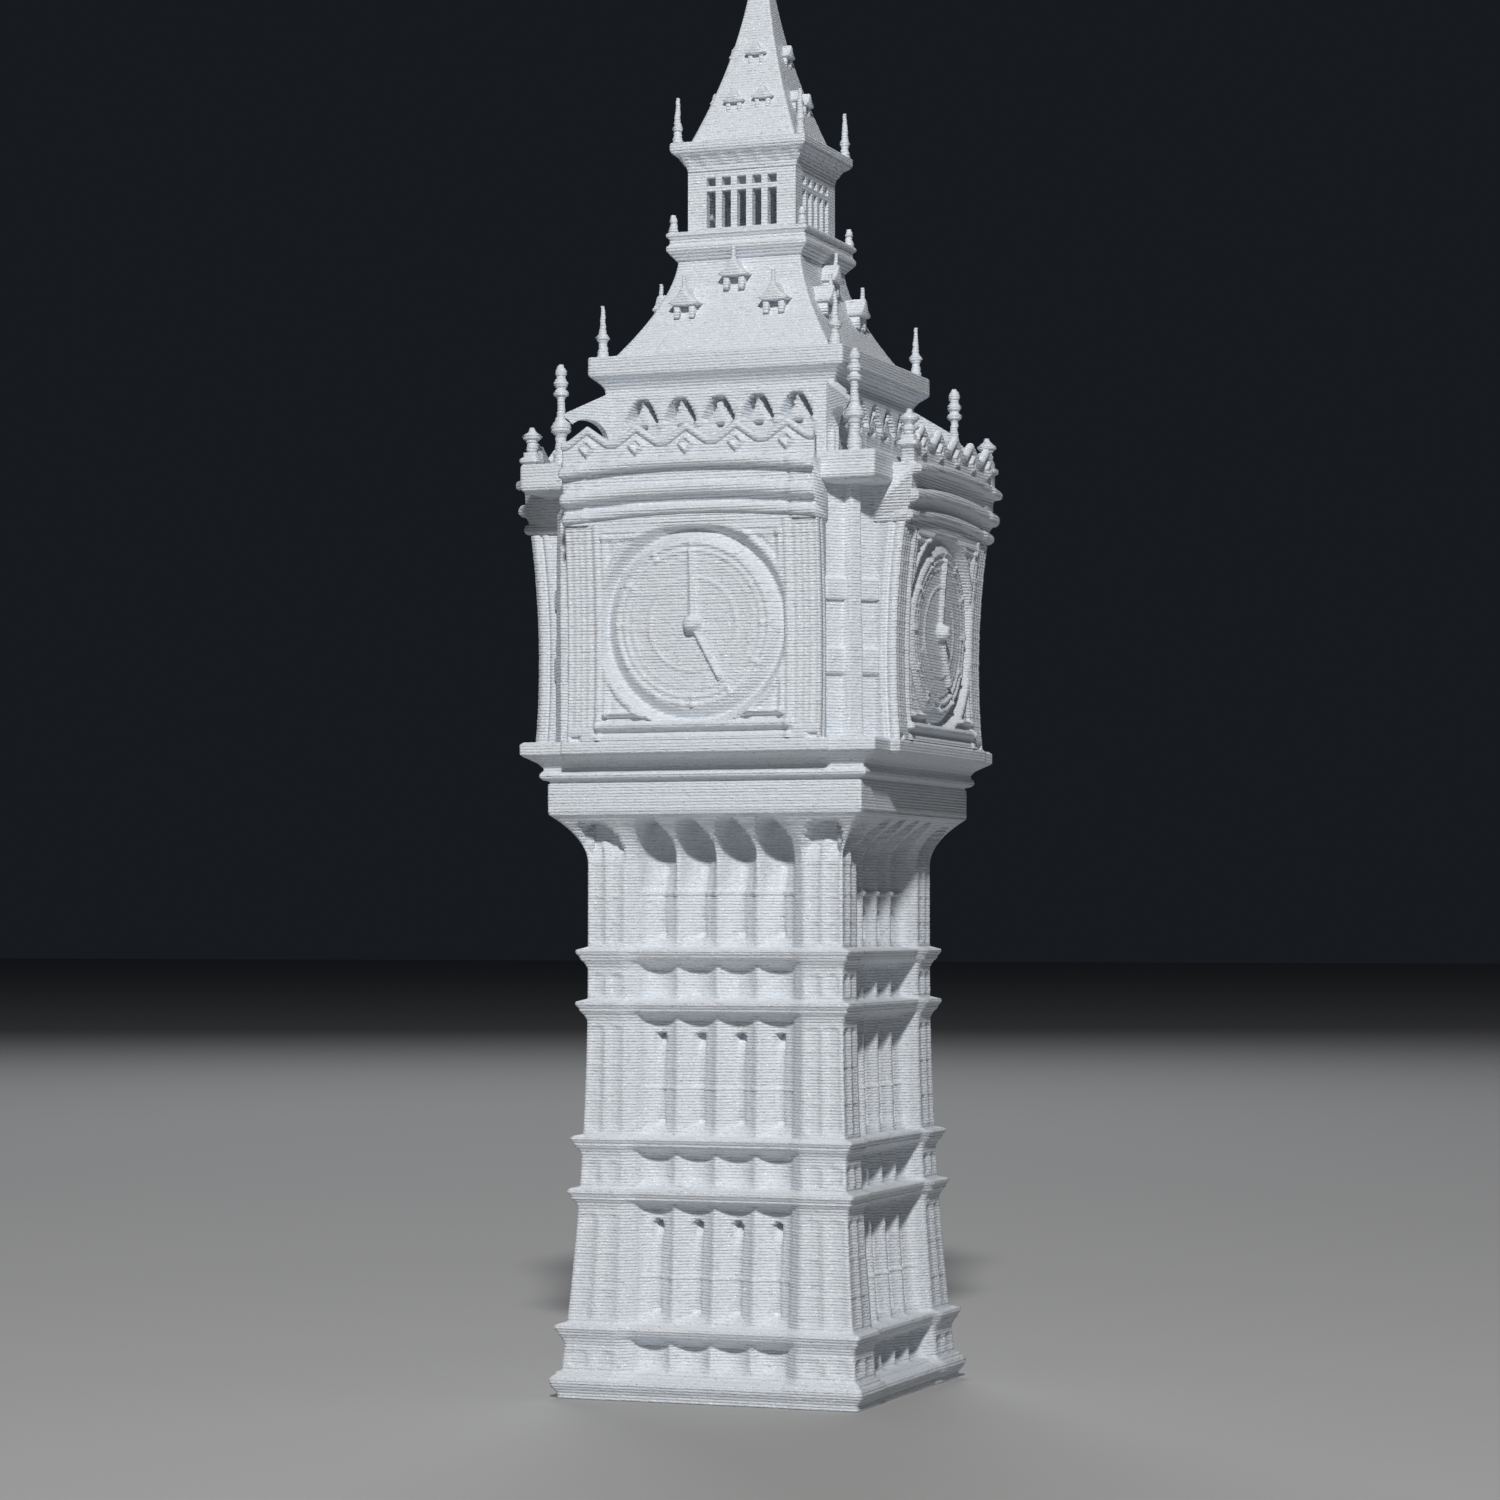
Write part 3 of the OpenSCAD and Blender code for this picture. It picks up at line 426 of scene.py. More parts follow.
# core between the faces: each corner cut off at 45 degrees, with a tapering rib up its middle and two
# raised bands; distance out along the diagonal = corner + band + rib at offset e across it
core = {
    "low": 43.9, "high": 60.7, "corner": 14.3, "across": 1.84, "rib": (0.6, 0.42), "ribOut": 0.75,
    "bands": [(48.1, 49.9), (53.05, 54.5)], "bandOut": 0.34,
}
z = rowsBetween(core["low"], core["high"])
e, zz = np.meshgrid(np.linspace(-core["across"], core["across"], 44), z)
onRib = softStep(np.interp(zz, [43.9, 58.0], core["rib"]) - np.abs(e), -0.05, 0.05)
raised = sum(band(zz, low, high, 0.08) for low, high in core["bands"])
corner = core["corner"] + core["bandOut"] * raised * (1.0 - onRib) + core["ribOut"] * onRib
sides = []
for quarter in range(4):
    out = corner + beadOut(e, zz, quarter)
    diagonal = np.stack([(out + e) / math.sqrt(2), (e - out) / math.sqrt(2), zz], axis=-1)
    sides.append(turnedBy(diagonal, quarter))
points = np.concatenate(sides, axis=1)
nodes = ["clock_core", "corner_ribs"]
makePiece("clockCore", points, gridQuads(len(z), points.shape[1], True), (), nodes)
print("core done")

# upper cornice: a square slab at the corners, and mouldings that arch over each face
cornice = {
    "low": 58.25, "high": 62.65, "faceTop": 13.5, "half": 8.95, "arch": 73.1, "inner": 9.0, "back": 10.4,
    "ear": 7.3, "earOut": 0.13,
    "slab": [(58.25, 10.0), (60.6, 10.0), (60.65, 12.1), (60.8, 12.5), (61.0, 12.65),
             (62.5, 12.65), (62.65, 12.55)],
    "rolls": [(0.92, 0.02, 0.34), (2.2, 0.36, 0.42), (3.95, 0.66, 0.33)],
    "fillets": [(0.0, -0.3), (0.5, -0.3), (0.56, 0.0), (1.3, -0.08), (1.6, 0.1), (1.8, 0.28),
                (2.6, 0.24), (3.4, 0.3), (3.7, 0.42), (4.2, 0.62), (4.3, 0.6)],
}
z, half = outlineRows(cornice["slab"], cornice["low"], cornice["high"], cornice["inner"])
towerSkin("corniceSlab", z, half, plainDepth, 8.0, (30, 20), ["upper_cornice"], (True, True))


# joins grids that repeat on the four sides into one piece, with both ends of each closed
def fourStrips(name, strips, nodes):
    quads, caps, start = [], [], 0
    for strip in strips:
        rows, cols = strip.shape[:2]
        quads.append(gridQuads(rows, cols, False, start))
        firsts = start + np.arange(rows) * cols
        caps += [firsts, (firsts + cols - 1)[::-1]]
        start += rows * cols
    points = np.concatenate([turnedBy(strip, quarter).reshape(-1, 3) for quarter, strip in enumerate(strips)])
    return makePiece(name, points, np.concatenate(quads), caps, nodes)


# profile of fillets and half-round rolls, carried along an arch: at x it lies lower by the square of x
# over twice the arch's radius, which grows with the height in the profile
up = np.linspace(0.0, 4.4, 89)
fillets = np.array(cornice["fillets"])
out = np.interp(up, fillets[:, 0], fillets[:, 1])
for at, base, radius in cornice["rolls"]:
    roll = base + np.sqrt(np.clip(radius ** 2 - (up - at) ** 2, 0.0, None))
    out = np.maximum(out, np.where(np.abs(up - at) < radius, roll, 0.0))
out[-1] = 0.45
rise = np.concatenate([[0.0], up, [4.4]])[:, None]
x = np.linspace(-cornice["half"], cornice["half"], 90)[None, :]
height = cornice["low"] + rise - x ** 2 / (2 * (cornice["arch"] + rise))
height = np.maximum(height, cornice["low"] - 0.02)
ear = cornice["earOut"] * softStep(np.abs(x) - cornice["ear"], -0.05, 0.05)
strips = []
for quarter in range(4):
    bead = beadOut(x + 0.0 * height, height, quarter)
    stand = cornice["faceTop"] + out[:, None] + ear + bead[1:-1]
    stand = np.pad(stand, ((1, 1), (0, 0)), constant_values=cornice["back"])
    strips.append(np.stack([np.broadcast_to(x, height.shape), -stand, height], axis=-1))
fourStrips("corniceArches", strips, ["upper_cornice"])
print("cornice done")

# parapets: wall with diamond bosses under a wavy roll, its foot following the cornice's arch
parapet = {
    "plane": 14.0, "thick": 0.55, "pitch": 3.55, "reach": 8.875, "foot": 62.62, "arch": 77.5,
    "valley": 63.85, "rise": 0.98, "wave": 0.4, "roll": 0.3,
    "diamondZ": 63.35, "diamondWide": 0.68, "diamondHigh": 0.72, "boss": 0.36, "sunk": 0.22,
    "frontHalf": 8.93, "sideHalf": 8.2,
}


# top of the wave: each peak falls straight to a flat valley, with the corner between them softened
def parapetTop(x):
    p = parapet
    fromPeak = np.abs((x / p["pitch"] + 0.5) % 1.0 - 0.5)
    slope = np.clip(1.0 - fromPeak / p["wave"], -1.0, 1.0)
    wave = np.clip((np.sqrt(slope ** 2 + 0.006) + slope) / 2.006, 0.0, 1.0)
    return p["valley"] + p["rise"] * wave * (np.abs(x) < p["reach"])


# wall from its foot up, then the roll as most of a circle, then the back down to the foot
def parapetStrip(quarter, halfWidth):
    p = parapet
    x = np.linspace(-halfWidth, halfWidth, 150)[None, :]
    top = parapetTop(x)
    foot = p["foot"] - x ** 2 / (2 * p["arch"])
    z = foot + np.linspace(0.0, 1.0, 26)[:-2, None] * (top - p["roll"] - foot)
    bay = (x / p["pitch"] + 0.5) % 1.0 - 0.5
    diamond = np.abs(bay) * p["pitch"] / p["diamondWide"] + np.abs(z - p["diamondZ"]) / p["diamondHigh"]
    boss = p["boss"] * np.clip((1.0 - diamond) / 0.3, 0.0, 1.0)
    boss = boss - p["sunk"] * softStep(0.5 - diamond, -0.1, 0.1)
    front = p["plane"] + boss * (np.abs(x) < p["reach"]) + beadOut(x + 0.0 * z, z, quarter)
    turn = np.linspace(-1.57, 3.0, 12)[:, None]
    rollZ = top - p["roll"] + p["roll"] * np.sin(turn)
    rollY = p["plane"] - 0.03 + p["roll"] * np.cos(turn) + 0.0 * x
    backY = np.full((2, x.size), p["plane"] - p["thick"])
    z = np.concatenate([z, rollZ, top - 0.3, foot])
    y = np.concatenate([front, rollY, backY])
    return np.stack([np.broadcast_to(x, z.shape), -y, z], axis=-1)


halves = [parapet["frontHalf"], parapet["sideHalf"]] * 2
fourStrips("parapetWalls", [parapetStrip(quarter, half) for quarter, half in enumerate(halves)], ["parapets"])
print("parapets done")


# lathe-turned shapes at each place: an outline of (radius, height) made smooth by cubics through its
# points, carried round in a circle, with a slight unevenness from level to level
def turnedPieces(name, outline, places, nodes, smooth=6, around=20):
    outline = np.array(outline, dtype=float)
    last = len(outline) - 1
    s = np.linspace(0.0, last, last * smooth + 1)
    k = np.clip(np.floor(s).astype(int), 0, last - 1)
    t = (s - k)[:, None]
    before, here, after = outline[np.clip(k - 1, 0, None)], outline[k], outline[k + 1]
    beyond = outline[np.clip(k + 2, None, last)]
    curve = 0.5 * (2 * here + (after - before) * t
                   + (2 * before - 5 * here + 4 * after - beyond) * t ** 2
                   + (3 * here - before - 3 * after + beyond) * t ** 3)
    radius = np.maximum(curve[:, :1], 0.05)
    levels = len(curve)
    turn = np.linspace(0.0, 2 * np.pi, around, endpoint=False)
    points, quads, caps = [], [], []
    for index, (px, py, pz) in enumerate(places):
        uneven = radius * (1.0 + 0.05 * chance.normal(size=levels)[:, None])
        x = px + uneven * np.cos(turn) + 0.02 * chance.normal(size=(levels, 1))
        y = py + uneven * np.sin(turn) + 0.02 * chance.normal(size=(levels, 1))
        z = pz + curve[:, 1:] + 0.0 * x
        points.append(np.stack([x, y, z], axis=-1).reshape(-1, 3))
        start = index * levels * around
        quads.append(gridQuads(levels, around, True, start))
        caps.append(start + (levels - 1) * around + np.arange(around))
    return makePiece(name, np.concatenate(points), np.concatenate(quads), caps, nodes)


def fourCorners(at, z):
    return [(at, at, z), (-at, at, z), (-at, -at, z), (at, -at, z)]


turned = {
    "pinnacle": [(0.5, 0), (0.5, 0.9), (0.4, 1), (0.38, 2.0), (0.62, 2.4), (0.66, 2.75), (0.38, 3.2),
                 (0.28, 3.8), (0.28, 4.6), (0.5, 4.85), (0.5, 5.05), (0.33, 5.3), (0.48, 5.55),
                 (0.48, 5.75), (0.3, 6.0), (0.4, 6.3), (0.38, 6.5), (0.14, 6.95)],
    "bud": [(0.27, 0), (0.42, 0.35), (0.36, 0.7), (0.66, 1.05), (0.6, 1.2), (0.3, 1.45), (0.15, 1.74)],
    "spike": [(0.44, 0), (0.38, 0.3), (0.28, 1.0), (0.42, 1.25), (0.46, 1.45), (0.28, 1.7),
              (0.2, 2.4), (0.12, 3.58)],
    "smallSpike": [(0.4, 0), (0.34, 0.2), (0.26, 0.75), (0.34, 0.95), (0.34, 1.08), (0.25, 1.3),
                   (0.19, 2.1), (0.12, 3.15)],
    "galleryPin": [(0.36, 0), (0.3, 0.3), (0.22, 0.7), (0.26, 0.85), (0.15, 1.25)],
    "finial": [(0.28, 0), (0.22, 0.5), (0.46, 0.8), (0.46, 1.0), (0.2, 1.3), (0.15, 2.0), (0.28, 2.2),
               (0.07, 3.18)],
    "budAt": (8.475, 13.625, 63.95),
}
along, out, level = turned["budAt"]
budPlaces = [(sx * out, sy * along, level) for sx in (-1, 1) for sy in (-1, 1)]
turnedPieces("pinnacles", turned["pinnacle"], fourCorners(10.55, 62.65), ["corner_pinnacles"])
turnedPieces("buds", turned["bud"], budPlaces, ["bud_finials"])
turnedPieces("eaveSpikes", turned["spike"], fourCorners(8.4, 70.2), ["eave_spikes"])
turnedPieces("smallSpikes", turned["smallSpike"], fourCorners(4.5, 85.4), ["upper_spikes"])
turnedPieces("galleryPins", turned["galleryPin"], fourCorners(4.72, 79.15), ["gallery_posts"])
turnedPieces("finial", turned["finial"], [(0, 0, 101.7)], ["spire_finial"])

# square posts with collars under the buds: rings of points on a rounded square, by the ninth power
post = {
    "around": 24, "square": 9,
    "shape": [(0.475, 62.1), (0.475, 63.1), (0.6, 63.17), (0.7, 63.25), (0.7, 63.48), (0.6, 63.56),
              (0.475, 63.62), (0.475, 63.95), (0.05, 63.96)],
}
turn = np.linspace(0.0, 2 * np.pi, post["around"], endpoint=False)
ring = np.stack([np.cos(turn), np.sin(turn)], axis=-1)
ring = ring / (np.abs(ring) ** post["square"]).sum(axis=1, keepdims=True) ** (1 / post["square"])
shape = np.array(post["shape"])
flat = shape[:, :1, None] * ring[None]
levels = np.repeat(shape[:, None, 1:], post["around"], axis=1)
points = [np.concatenate([flat + [px, py], levels], axis=-1).reshape(-1, 3) for px, py, _ in budPlaces]
quads = [gridQuads(len(shape), post["around"], True, index * len(points[0])) for index in range(4)]
makePiece("posts", np.concatenate(points), np.concatenate(quads), [], ["parapets"])
print("turned pieces done")

# belfry and its eave: hooded bays with two lens openings each, then a hollow up to a square rim
belfry = {
    "low": 62.65, "high": 70.2, "inner": 7.5, "pitch": 2.79, "reach": 6.975, "peak": 67.35,
    "archWide": 1.12, "archHigh": 1.6, "hoodHigh": 1.75, "lensDeep": 1.7, "hoodSunk": 0.16,
    "slotDown": 2.05, "slotDeep": 0.8, "rimOut": 0.1, "pleat": 1.28, "pleatOut": 0.07,
    "shape": [(62.65, 8.3), (67.9, 8.3), (68.1, 8.34), (68.4, 8.55), (68.7, 8.9), (68.88, 9.12),
              (69.0, 9.2), (70.1, 9.2), (70.2, 9.12)],
}


# in each bay an arch widens quickly below its peak and a hood widens as the square of the way down;
# the lens openings lie between the two, and a slot under the hood
def belfryDepth(x, z, share, half):
    b = belfry
    inBay = np.abs(x) < b["reach"]
    u = np.where(inBay, np.abs((x / b["pitch"] + 0.5) % 1.0 - 0.5) * b["pitch"], 9.0)
    down = b["peak"] - z
    archEdge = b["archWide"] * np.clip(down / b["archHigh"], 0.0, 1.0) ** 0.55
    arch = softStep(archEdge - u, -0.06, 0.06)
    hoodDown = down - 0.1
    hoodEdge = np.where(hoodDown > 0, 0.05 + np.clip(hoodDown / b["hoodHigh"], 0.0, 1.2) ** 2, 0.0)
    hood = softStep(hoodEdge - u, -0.07, 0.07)
    cut = b["lensDeep"] * arch * (1.0 - hood) * band(down, 0.15, b["hoodHigh"], 0.15)
    cut = cut + b["hoodSunk"] * hood * band(down, 0.9, 3.6, 0.3)
    cut = cut + b["slotDeep"] * band(u, -9.0, 0.32, 0.08) * swell(down, b["slotDown"], 0.14, 4)
    cut = cut - b["rimOut"] * swell(u, hoodEdge, 0.08) * band(down, 0.4, 2.6, 0.3)
    cut = cut - b["pleatOut"] * swell(u, b["pleat"], 0.08) * band(down, 0.6, 9.0, 0.3)
    return cut * (z < 67.6) * (np.abs(x) < b["reach"] + 0.1)


z, half = outlineRows(belfry["shape"], belfry["low"], belfry["high"], belfry["inner"])
towerSkin("belfryWalls", z, half, belfryDepth, 7.3, (104, 8), ["belfry", "lower_eave"], (True, True))

# roof, gallery, upper eave and spire
roofs = {
    "roof": {"low": 70.2, "high": 77.2, "top": 4.5, "spread": 3.4, "curve": 1.55},
    "spire": {"low": 85.4, "high": 101.7, "top": 0.3, "spread": 3.6, "curve": 1.9},
    "gallery": [(77.2, 4.55), (77.5, 4.8), (77.75, 5.02), (77.9, 5.13), (78.15, 5.15), (78.3, 5.0),
                (78.38, 4.95), (78.7, 4.95), (78.8, 5.08), (78.9, 5.15), (79.08, 5.15), (79.15, 5.05)],
    "upperEave": [(83.4, 3.97), (83.75, 4.05), (84.1, 4.2), (84.4, 4.45), (84.6, 4.75), (84.75, 4.9),
                  (84.9, 4.95), (85.3, 4.95), (85.4, 4.88)],
    "dentil": {"pitch": 1.32, "half": 0.26, "out": 0.1, "low": 83.9, "high": 84.45, "reach": 4.2},
}


# half width of a concave roof: its top, and a spread that falls as a power of the way up
def roofHalf(name, z):
    r = roofs[name]
    return r["top"] + r["spread"] * (1.0 - (z - r["low"]) / (r["high"] - r["low"])) ** r["curve"]


# small blocks standing out in a row
def dentilDepth(x, z, share, half):
    d = roofs["dentil"]
    u = np.abs((x / d["pitch"] + 0.5) % 1.0 - 0.5) * d["pitch"]
    block = softStep(d["half"] - u, -0.05, 0.05) * band(z, d["low"], d["high"], 0.1)
    return -d["out"] * block * (np.abs(x) < d["reach"])


z = rowsBetween(70.2, 77.2)
towerSkin("roof", z, roofHalf("roof", z), plainDepth, 3.0, (30, 16), ["lower_roof"], (False, True))
z, half = outlineRows(roofs["gallery"], 77.2, 79.15, 3.0)
towerSkin("galleryRing", z, half, plainDepth, 3.0, (50, 22), ["gallery"], (True, True))
z, half = outlineRows(roofs["upperEave"], 83.4, 85.4, 3.0)
towerSkin("upperEaveRing", z, half, dentilDepth, 3.0, (50, 22), ["upper_eave"], (True, True))
z = rowsBetween(85.4, 101.7)
towerSkin("spireSkin", z, roofHalf("spire", z), plainDepth, 0.2, (3, 12), ["spire"], (False, True), 0.7)
print("roofs done")

# dormers of the roof and small hoods of the spire: places of (x, z, how far ahead of the roof)
hoods = {
    "hood": [(-1.0, 0), (-0.74, 0.14), (-0.5, 0.33), (-0.3, 0.62), (-0.15, 0.92), (0, 1.02), (0.15, 0.92),
             (0.3, 0.62), (0.5, 0.33), (0.74, 0.14), (1.0, 0), (0.8, -0.12), (0.4, -0.16), (0, -0.18),
             (-0.4, -0.16), (-0.8, -0.12)],
    "cheek": [(-0.2, -0.95), (0.15, -0.95), (0.2, 0.05), (-0.2, 0.05)],
    "cheekAt": 0.5, "cheekBack": 0.22,
    "dormers": [(0.0, 76.0, 1.0), (3.2, 74.05, 1.05), (-3.3, 74.05, 1.05)],
    "lucarnes": [(-0.95, 88.45, 0.5), (1.15, 88.6, 0.5), (0.25, 91.9, 0.45)],
    "dormerSize": 1.1, "lucarneSize": 0.8,
    "spike": [(0.22, 0), (0.16, 0.4), (0.13, 1.15)], "spikeUp": 0.75, "spikeBack": 0.28,
}


# an ogee hood on two cheeks, each an outline carried straight forward out of the roof, with its front
# edge drawn in towards its middle
def hoodedPieces(name, places, roof, size, nodes, back):
    points, quads, caps, start = [], [], [], 0
    hood, cheek = np.array(hoods["hood"]) * size, np.array(hoods["cheek"]) * size
    for quarter in range(4):
        for px, pz, ahead in places:
            reach = roofHalf(roof, pz) + ahead
            shapes = [(hood + [px, pz], reach)]
            for side in (-1, 1):
                shift = [px + side * hoods["cheekAt"] * size, pz]
                shapes.append((cheek + shift, reach - hoods["cheekBack"] * size))
            for flat, front in shapes:
                middle = flat.mean(axis=0)
                rings = []
                for stand, share in [(back, 1.0), (front - 0.12, 1.0), (front - 0.03, 0.95), (front, 0.84)]:
                    drawn = middle + (flat - middle) * share
                    rings.append(np.stack([drawn[:, 0], np.full(len(flat), -stand), drawn[:, 1]], axis=-1))
                points.append(turnedBy(np.concatenate(rings), quarter))
                quads.append(gridQuads(4, len(flat), True, start)[:, ::-1])
                caps.append((start + 3 * len(flat) + np.arange(len(flat)))[::-1])
                start += 4 * len(flat)
    return makePiece(name, np.concatenate(points), np.concatenate(quads), caps, nodes)


hoodedPieces("dormerHoods", hoods["dormers"], "roof", hoods["dormerSize"], ["dormers"], 4.0)
hoodedPieces("spireHoods", hoods["lucarnes"], "spire", hoods["lucarneSize"], ["lucarnes"], 0.5)
spikes = []
for quarter in range(4):
    for px, pz, ahead in hoods["dormers"]:
        stand = roofHalf("roof", pz) + ahead - hoods["spikeBack"]
        spikes.append(tuple(turnedBy(np.array([px, -stand, pz + hoods["spikeUp"]]), quarter)))
turnedPieces("dormerSpikes", hoods["spike"], spikes, ["dormers"], 4, 10)
print("hoods done")


# shader group of the print: sockets are given as (name, kind, default value)
def newGroup(name, inputs, outputs):
    group = bpy.data.node_groups.new(name, "ShaderNodeTree")
    for label, kind, value in inputs:
        socket = group.interface.new_socket(label, in_out="INPUT", socket_type=kind)
        if value is not None:
            socket.default_value = value
    for label in outputs:
        group.interface.new_socket(label, in_out="OUTPUT", socket_type="NodeSocketFloat")
    return group, group.nodes.new("NodeGroupInput"), group.nodes.new("NodeGroupOutput")


def mathNode(tree, kind, a, b=None):
    node = tree.nodes.new("ShaderNodeMath")
    node.operation = kind
    for index, value in enumerate((a, b)):
        if isinstance(value, (int, float)):
            node.inputs[index].default_value = value
        elif value is not None:
            tree.links.new(value, node.inputs[index])
    return node.outputs[0]


def noiseNode(tree, vector, stretch, scale, detail):
    move = tree.nodes.new("ShaderNodeMapping")
    move.inputs["Scale"].default_value = stretch
    tree.links.new(vector, move.inputs["Vector"])
    noise = tree.nodes.new("ShaderNodeTexNoise")
    noise.inputs["Scale"].default_value = scale
    noise.inputs["Detail"].default_value = detail
    tree.links.new(move.outputs[0], noise.inputs["Vector"])
    return noise.outputs["Fac"]


def rampNode(tree, value, low, high):
    node = tree.nodes.new("ShaderNodeMapRange")
    node.interpolation_type = "SMOOTHSTEP"
    tree.links.new(value, node.inputs["Value"])
    node.inputs["From Min"].default_value = low
    node.inputs["From Max"].default_value = high
    return node.outputs["Result"]


def mixNode(tree, factor, a, b):
    node = tree.nodes.new("ShaderNodeMix")
    node.data_type = "RGBA"
    tree.links.new(factor, node.inputs["Factor"])
    for label, value in (("A", a), ("B", b)):
        if isinstance(value, tuple):
            node.inputs[label].default_value = (*value, 1.0)
        else:
            tree.links.new(value, node.inputs[label])
    return node.outputs["Result"]


# layers, streaks along them and fine grain: their sum as a height, a mask of streaks, and a mask of grain
# flecks that are painted white as glints and also made glossier
printGroup = {
    "perMetre": 5000.0, "streakStretch": (1.0, 1.0, 5.0), "streakScale": 2600.0,
    "grainStretch": (1.0, 1.0, 1.3), "grainScale": 7500.0,
    "crest": 0.5, "streak": 0.9, "grain": 0.5, "streakRange": (0.43, 0.27), "glintAndGlossRange": (0.61, 0.68),
}
inputs = [
    ("Vector", "NodeSocketVector", None),
    ("Layers Per Metre", "NodeSocketFloat", printGroup["perMetre"]),
]
beadGroup, gin, gout = newGroup("printedLayers", inputs, ["Height", "Streak", "Painted Glint And Gloss"])
split = beadGroup.nodes.new("ShaderNodeSeparateXYZ")
beadGroup.links.new(gin.outputs["Vector"], split.inputs[0])
turns = mathNode(beadGroup, "MULTIPLY", split.outputs["Z"], gin.outputs["Layers Per Metre"])
crest = mathNode(beadGroup, "SINE", mathNode(beadGroup, "MULTIPLY", turns, math.pi))
crest = mathNode(beadGroup, "ABSOLUTE", crest)
vector = gin.outputs["Vector"]
streak = noiseNode(beadGroup, vector, printGroup["streakStretch"], printGroup["streakScale"], 3.0)
grain = noiseNode(beadGroup, vector, printGroup["grainStretch"], printGroup["grainScale"], 2.0)
height = mathNode(beadGroup, "MULTIPLY", crest, printGroup["crest"])
height = mathNode(beadGroup, "ADD", height, mathNode(beadGroup, "MULTIPLY", streak, printGroup["streak"]))
height = mathNode(beadGroup, "ADD", height, mathNode(beadGroup, "MULTIPLY", grain, printGroup["grain"]))
beadGroup.links.new(height, gout.inputs["Height"])
beadGroup.links.new(rampNode(beadGroup, streak, *printGroup["streakRange"]), gout.inputs["Streak"])
# mask of grain flecks: painted glint in the colour, real lower roughness in the gloss
beadGroup.links.new(rampNode(beadGroup, grain, *printGroup["glintAndGlossRange"]), gout.inputs["Painted Glint And Gloss"])

# pale plastic with darker streaks; pure white on the grain flecks is a painted glint, and their lower
# roughness is real gloss
plastic = {
    "light": (0.70, 0.745, 0.80), "streak": (0.38, 0.41, 0.45), "paintedGlint": (1.0, 1.0, 1.0),
    "streakShare": 0.75, "rough": 0.45, "glossFleckRough": 0.16, "bump": 0.9, "bumpHigh": 0.00009,
}


def plasticMaterial(name):
    material = bpy.data.materials.new(name)
    material.use_nodes = True
    tree = material.node_tree
    shader = tree.nodes["Principled BSDF"]
    coords = tree.nodes.new("ShaderNodeTexCoord")
    layers = tree.nodes.new("ShaderNodeGroup")
    layers.node_tree = beadGroup
    tree.links.new(coords.outputs["Object"], layers.inputs["Vector"])
    streaks = mathNode(tree, "MULTIPLY", layers.outputs["Streak"], plastic["streakShare"])
    color = mixNode(tree, streaks, plastic["light"], plastic["streak"])
    # painted glints: the grain flecks are painted pure white, standing in for specular sparkle
    color = mixNode(tree, layers.outputs["Painted Glint And Gloss"], color, plastic["paintedGlint"])
    tree.links.new(color, shader.inputs["Base Color"])
    rough = tree.nodes.new("ShaderNodeMapRange")
    tree.links.new(layers.outputs["Painted Glint And Gloss"], rough.inputs["Value"])
    rough.inputs["To Min"].default_value = plastic["rough"]
    rough.inputs["To Max"].default_value = plastic["glossFleckRough"]
    tree.links.new(rough.outputs["Result"], shader.inputs["Roughness"])
    bump = tree.nodes.new("ShaderNodeBump")
    bump.inputs["Strength"].default_value = plastic["bump"]
    bump.inputs["Distance"].default_value = plastic["bumpHigh"]
    tree.links.new(layers.outputs["Height"], bump.inputs["Height"])
    tree.links.new(bump.outputs["Normal"], shader.inputs["Normal"])
    return material


palePlastic = plasticMaterial("palePlastic")
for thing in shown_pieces() + list(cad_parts.values()):
    thing = bpy.data.objects[thing] if isinstance(thing, str) else thing
    thing.data.materials.clear()
    thing.data.materials.append(palePlastic)
print("materials done")

# camera: turned about the tower's axis, so far from it, a little aside, in metres
view = {
    "turn": math.radians(21.09), "away": 0.2671, "aside": -0.00084, "high": 0.0316,
    "tilt": math.radians(92.6), "lens": 92.95,
}
camera = bpy.data.cameras.new("camera")
camera.lens = view["lens"]
camera.sensor_width = 36.0
camera.clip_start = 0.01
cameraObject = bpy.data.objects.new("camera", camera)
sine, cosine = math.sin(view["turn"]), math.cos(view["turn"])
cameraObject.location = (
    sine * view["away"] + cosine * view["aside"],
    sine * view["aside"] - cosine * view["away"],
    view["high"],
)
cameraObject.rotation_euler = (view["tilt"], 0.0, view["turn"])
bpy.context.scene.collection.objects.link(cameraObject)
bpy.context.scene.camera = cameraObject

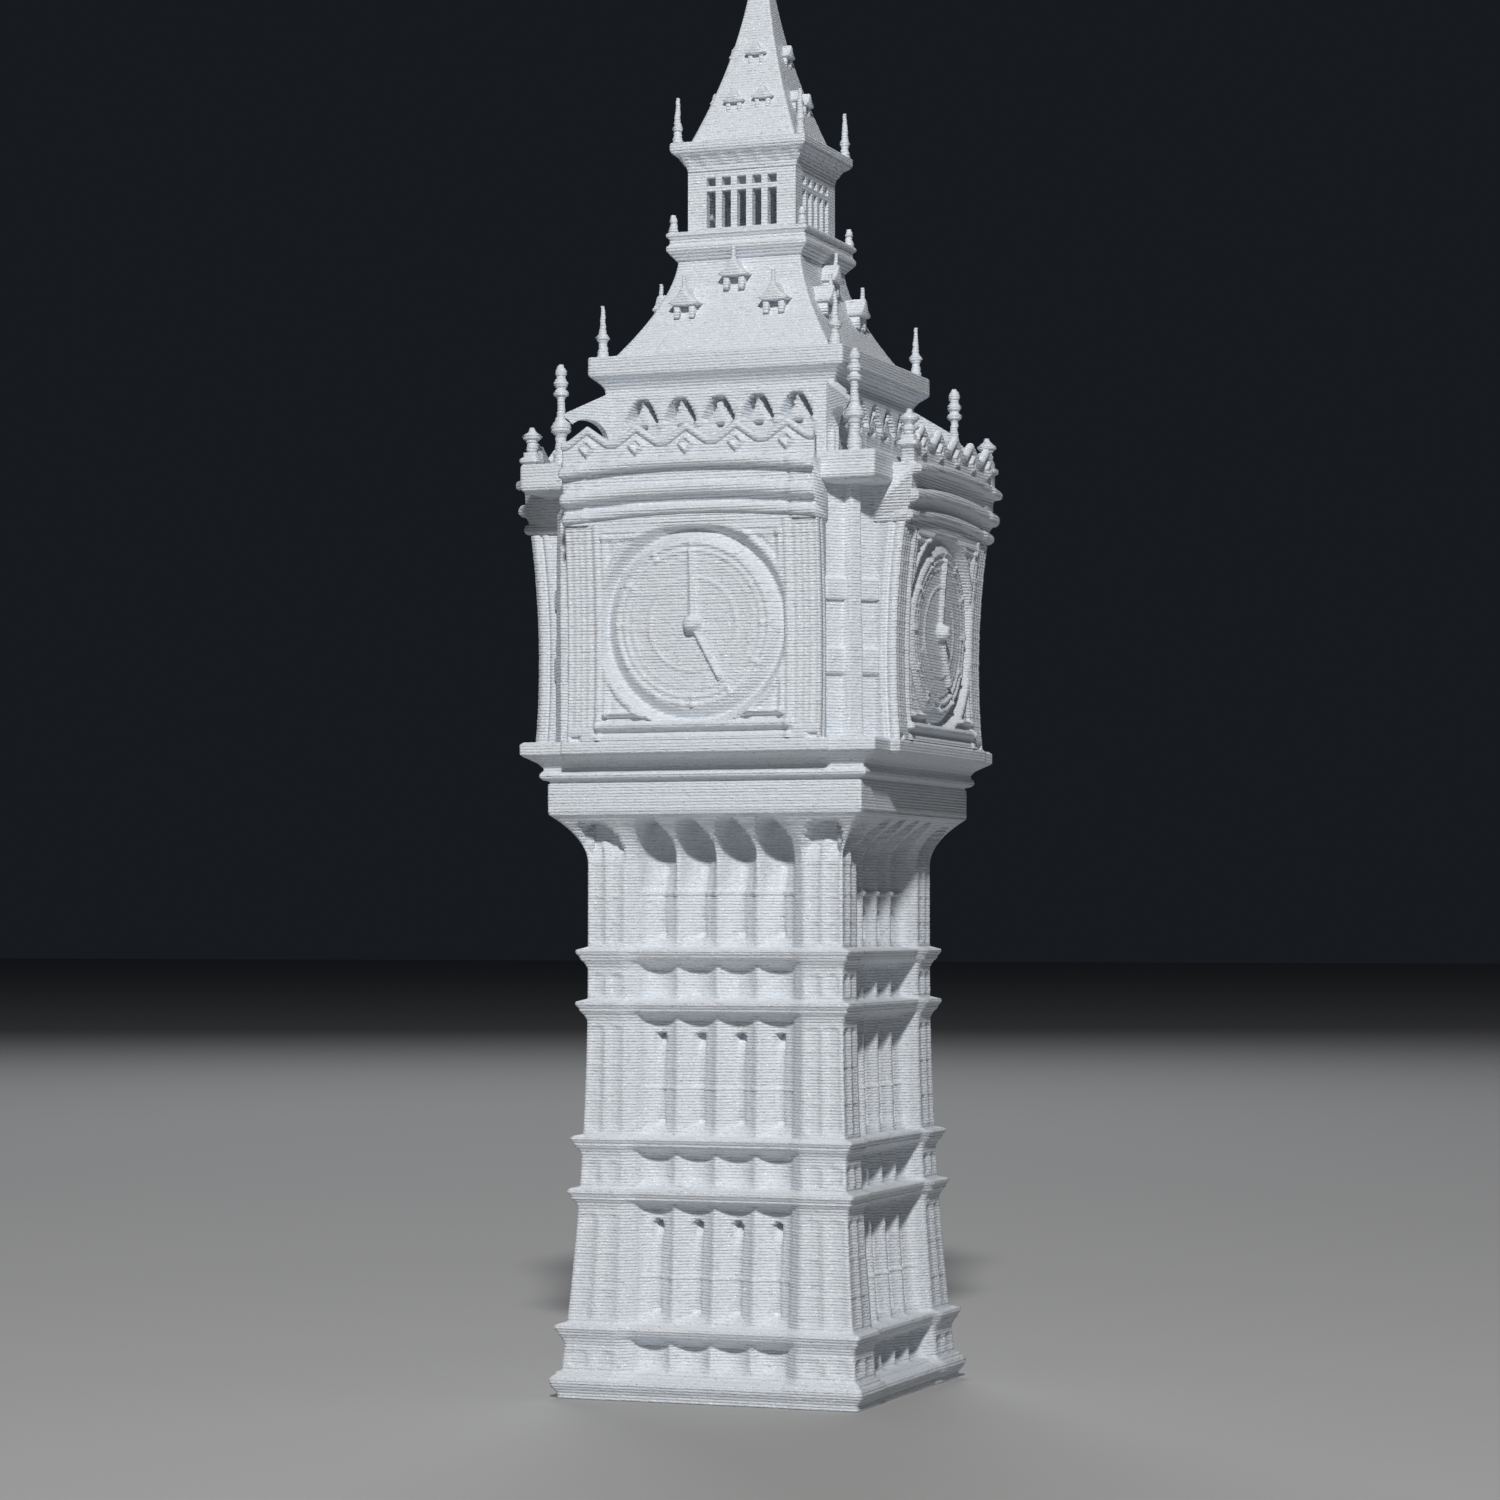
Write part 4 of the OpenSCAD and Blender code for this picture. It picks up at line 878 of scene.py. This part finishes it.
# floor and studio lights, in metres, degrees and watts
studio = {"floorHalf": 3.0, "floorColor": (0.42, 0.42, 0.42, 1.0), "lightAway": 0.7, "lookAt": 0.05,
          "worldColor": (0.62, 0.74, 0.95, 1.0), "worldStrength": 0.014}
reach = studio["floorHalf"]
floorMesh = bpy.data.meshes.new("floor")
floorCorners = [(-reach, -reach, 0), (reach, -reach, 0), (reach, reach, 0), (-reach, reach, 0)]
floorMesh.from_pydata(floorCorners, [], [(0, 1, 2, 3)])
floor = bpy.data.objects.new("floor", floorMesh)
floorMaterial = bpy.data.materials.new("paleFloor")
floorMaterial.use_nodes = True
floorShader = floorMaterial.node_tree.nodes["Principled BSDF"]
floorShader.inputs["Base Color"].default_value = studio["floorColor"]
floorShader.inputs["Roughness"].default_value = 0.8
floorMesh.materials.append(floorMaterial)
bpy.context.scene.collection.objects.link(floor)


# round area light, turned about the tower's axis and raised, facing the tower
def addLight(name, turn, rise, size, energy, color):
    turn, rise = math.radians(turn), math.radians(rise)
    light = bpy.data.lights.new(name, "AREA")
    light.shape = "DISK"
    light.size = size
    light.energy = energy
    light.color = color
    spot = bpy.data.objects.new(name, light)
    level = studio["lightAway"] * math.cos(rise)
    high = studio["lookAt"] + studio["lightAway"] * math.sin(rise)
    spot.location = (level * math.sin(turn), -level * math.cos(turn), high)
    spot.rotation_euler = (math.pi / 2 - rise, 0.0, turn)
    bpy.context.scene.collection.objects.link(spot)


addLight("keyLight", 21.0, 33.0, 0.05, 4.35, (1.0, 0.985, 0.97))
addLight("fillLight", -50.0, 25.0, 0.3, 0.03, (0.75, 0.86, 1.0))
addLight("backLight", 205.0, 38.0, 0.35, 1.3, (0.95, 0.97, 1.0))
world = bpy.data.worlds.new("studio")
world.use_nodes = True
world.node_tree.nodes["Background"].inputs["Color"].default_value = studio["worldColor"]
world.node_tree.nodes["Background"].inputs["Strength"].default_value = studio["worldStrength"]
bpy.context.scene.world = world
bpy.context.scene.view_settings.view_transform = "Standard"
print("lights done")
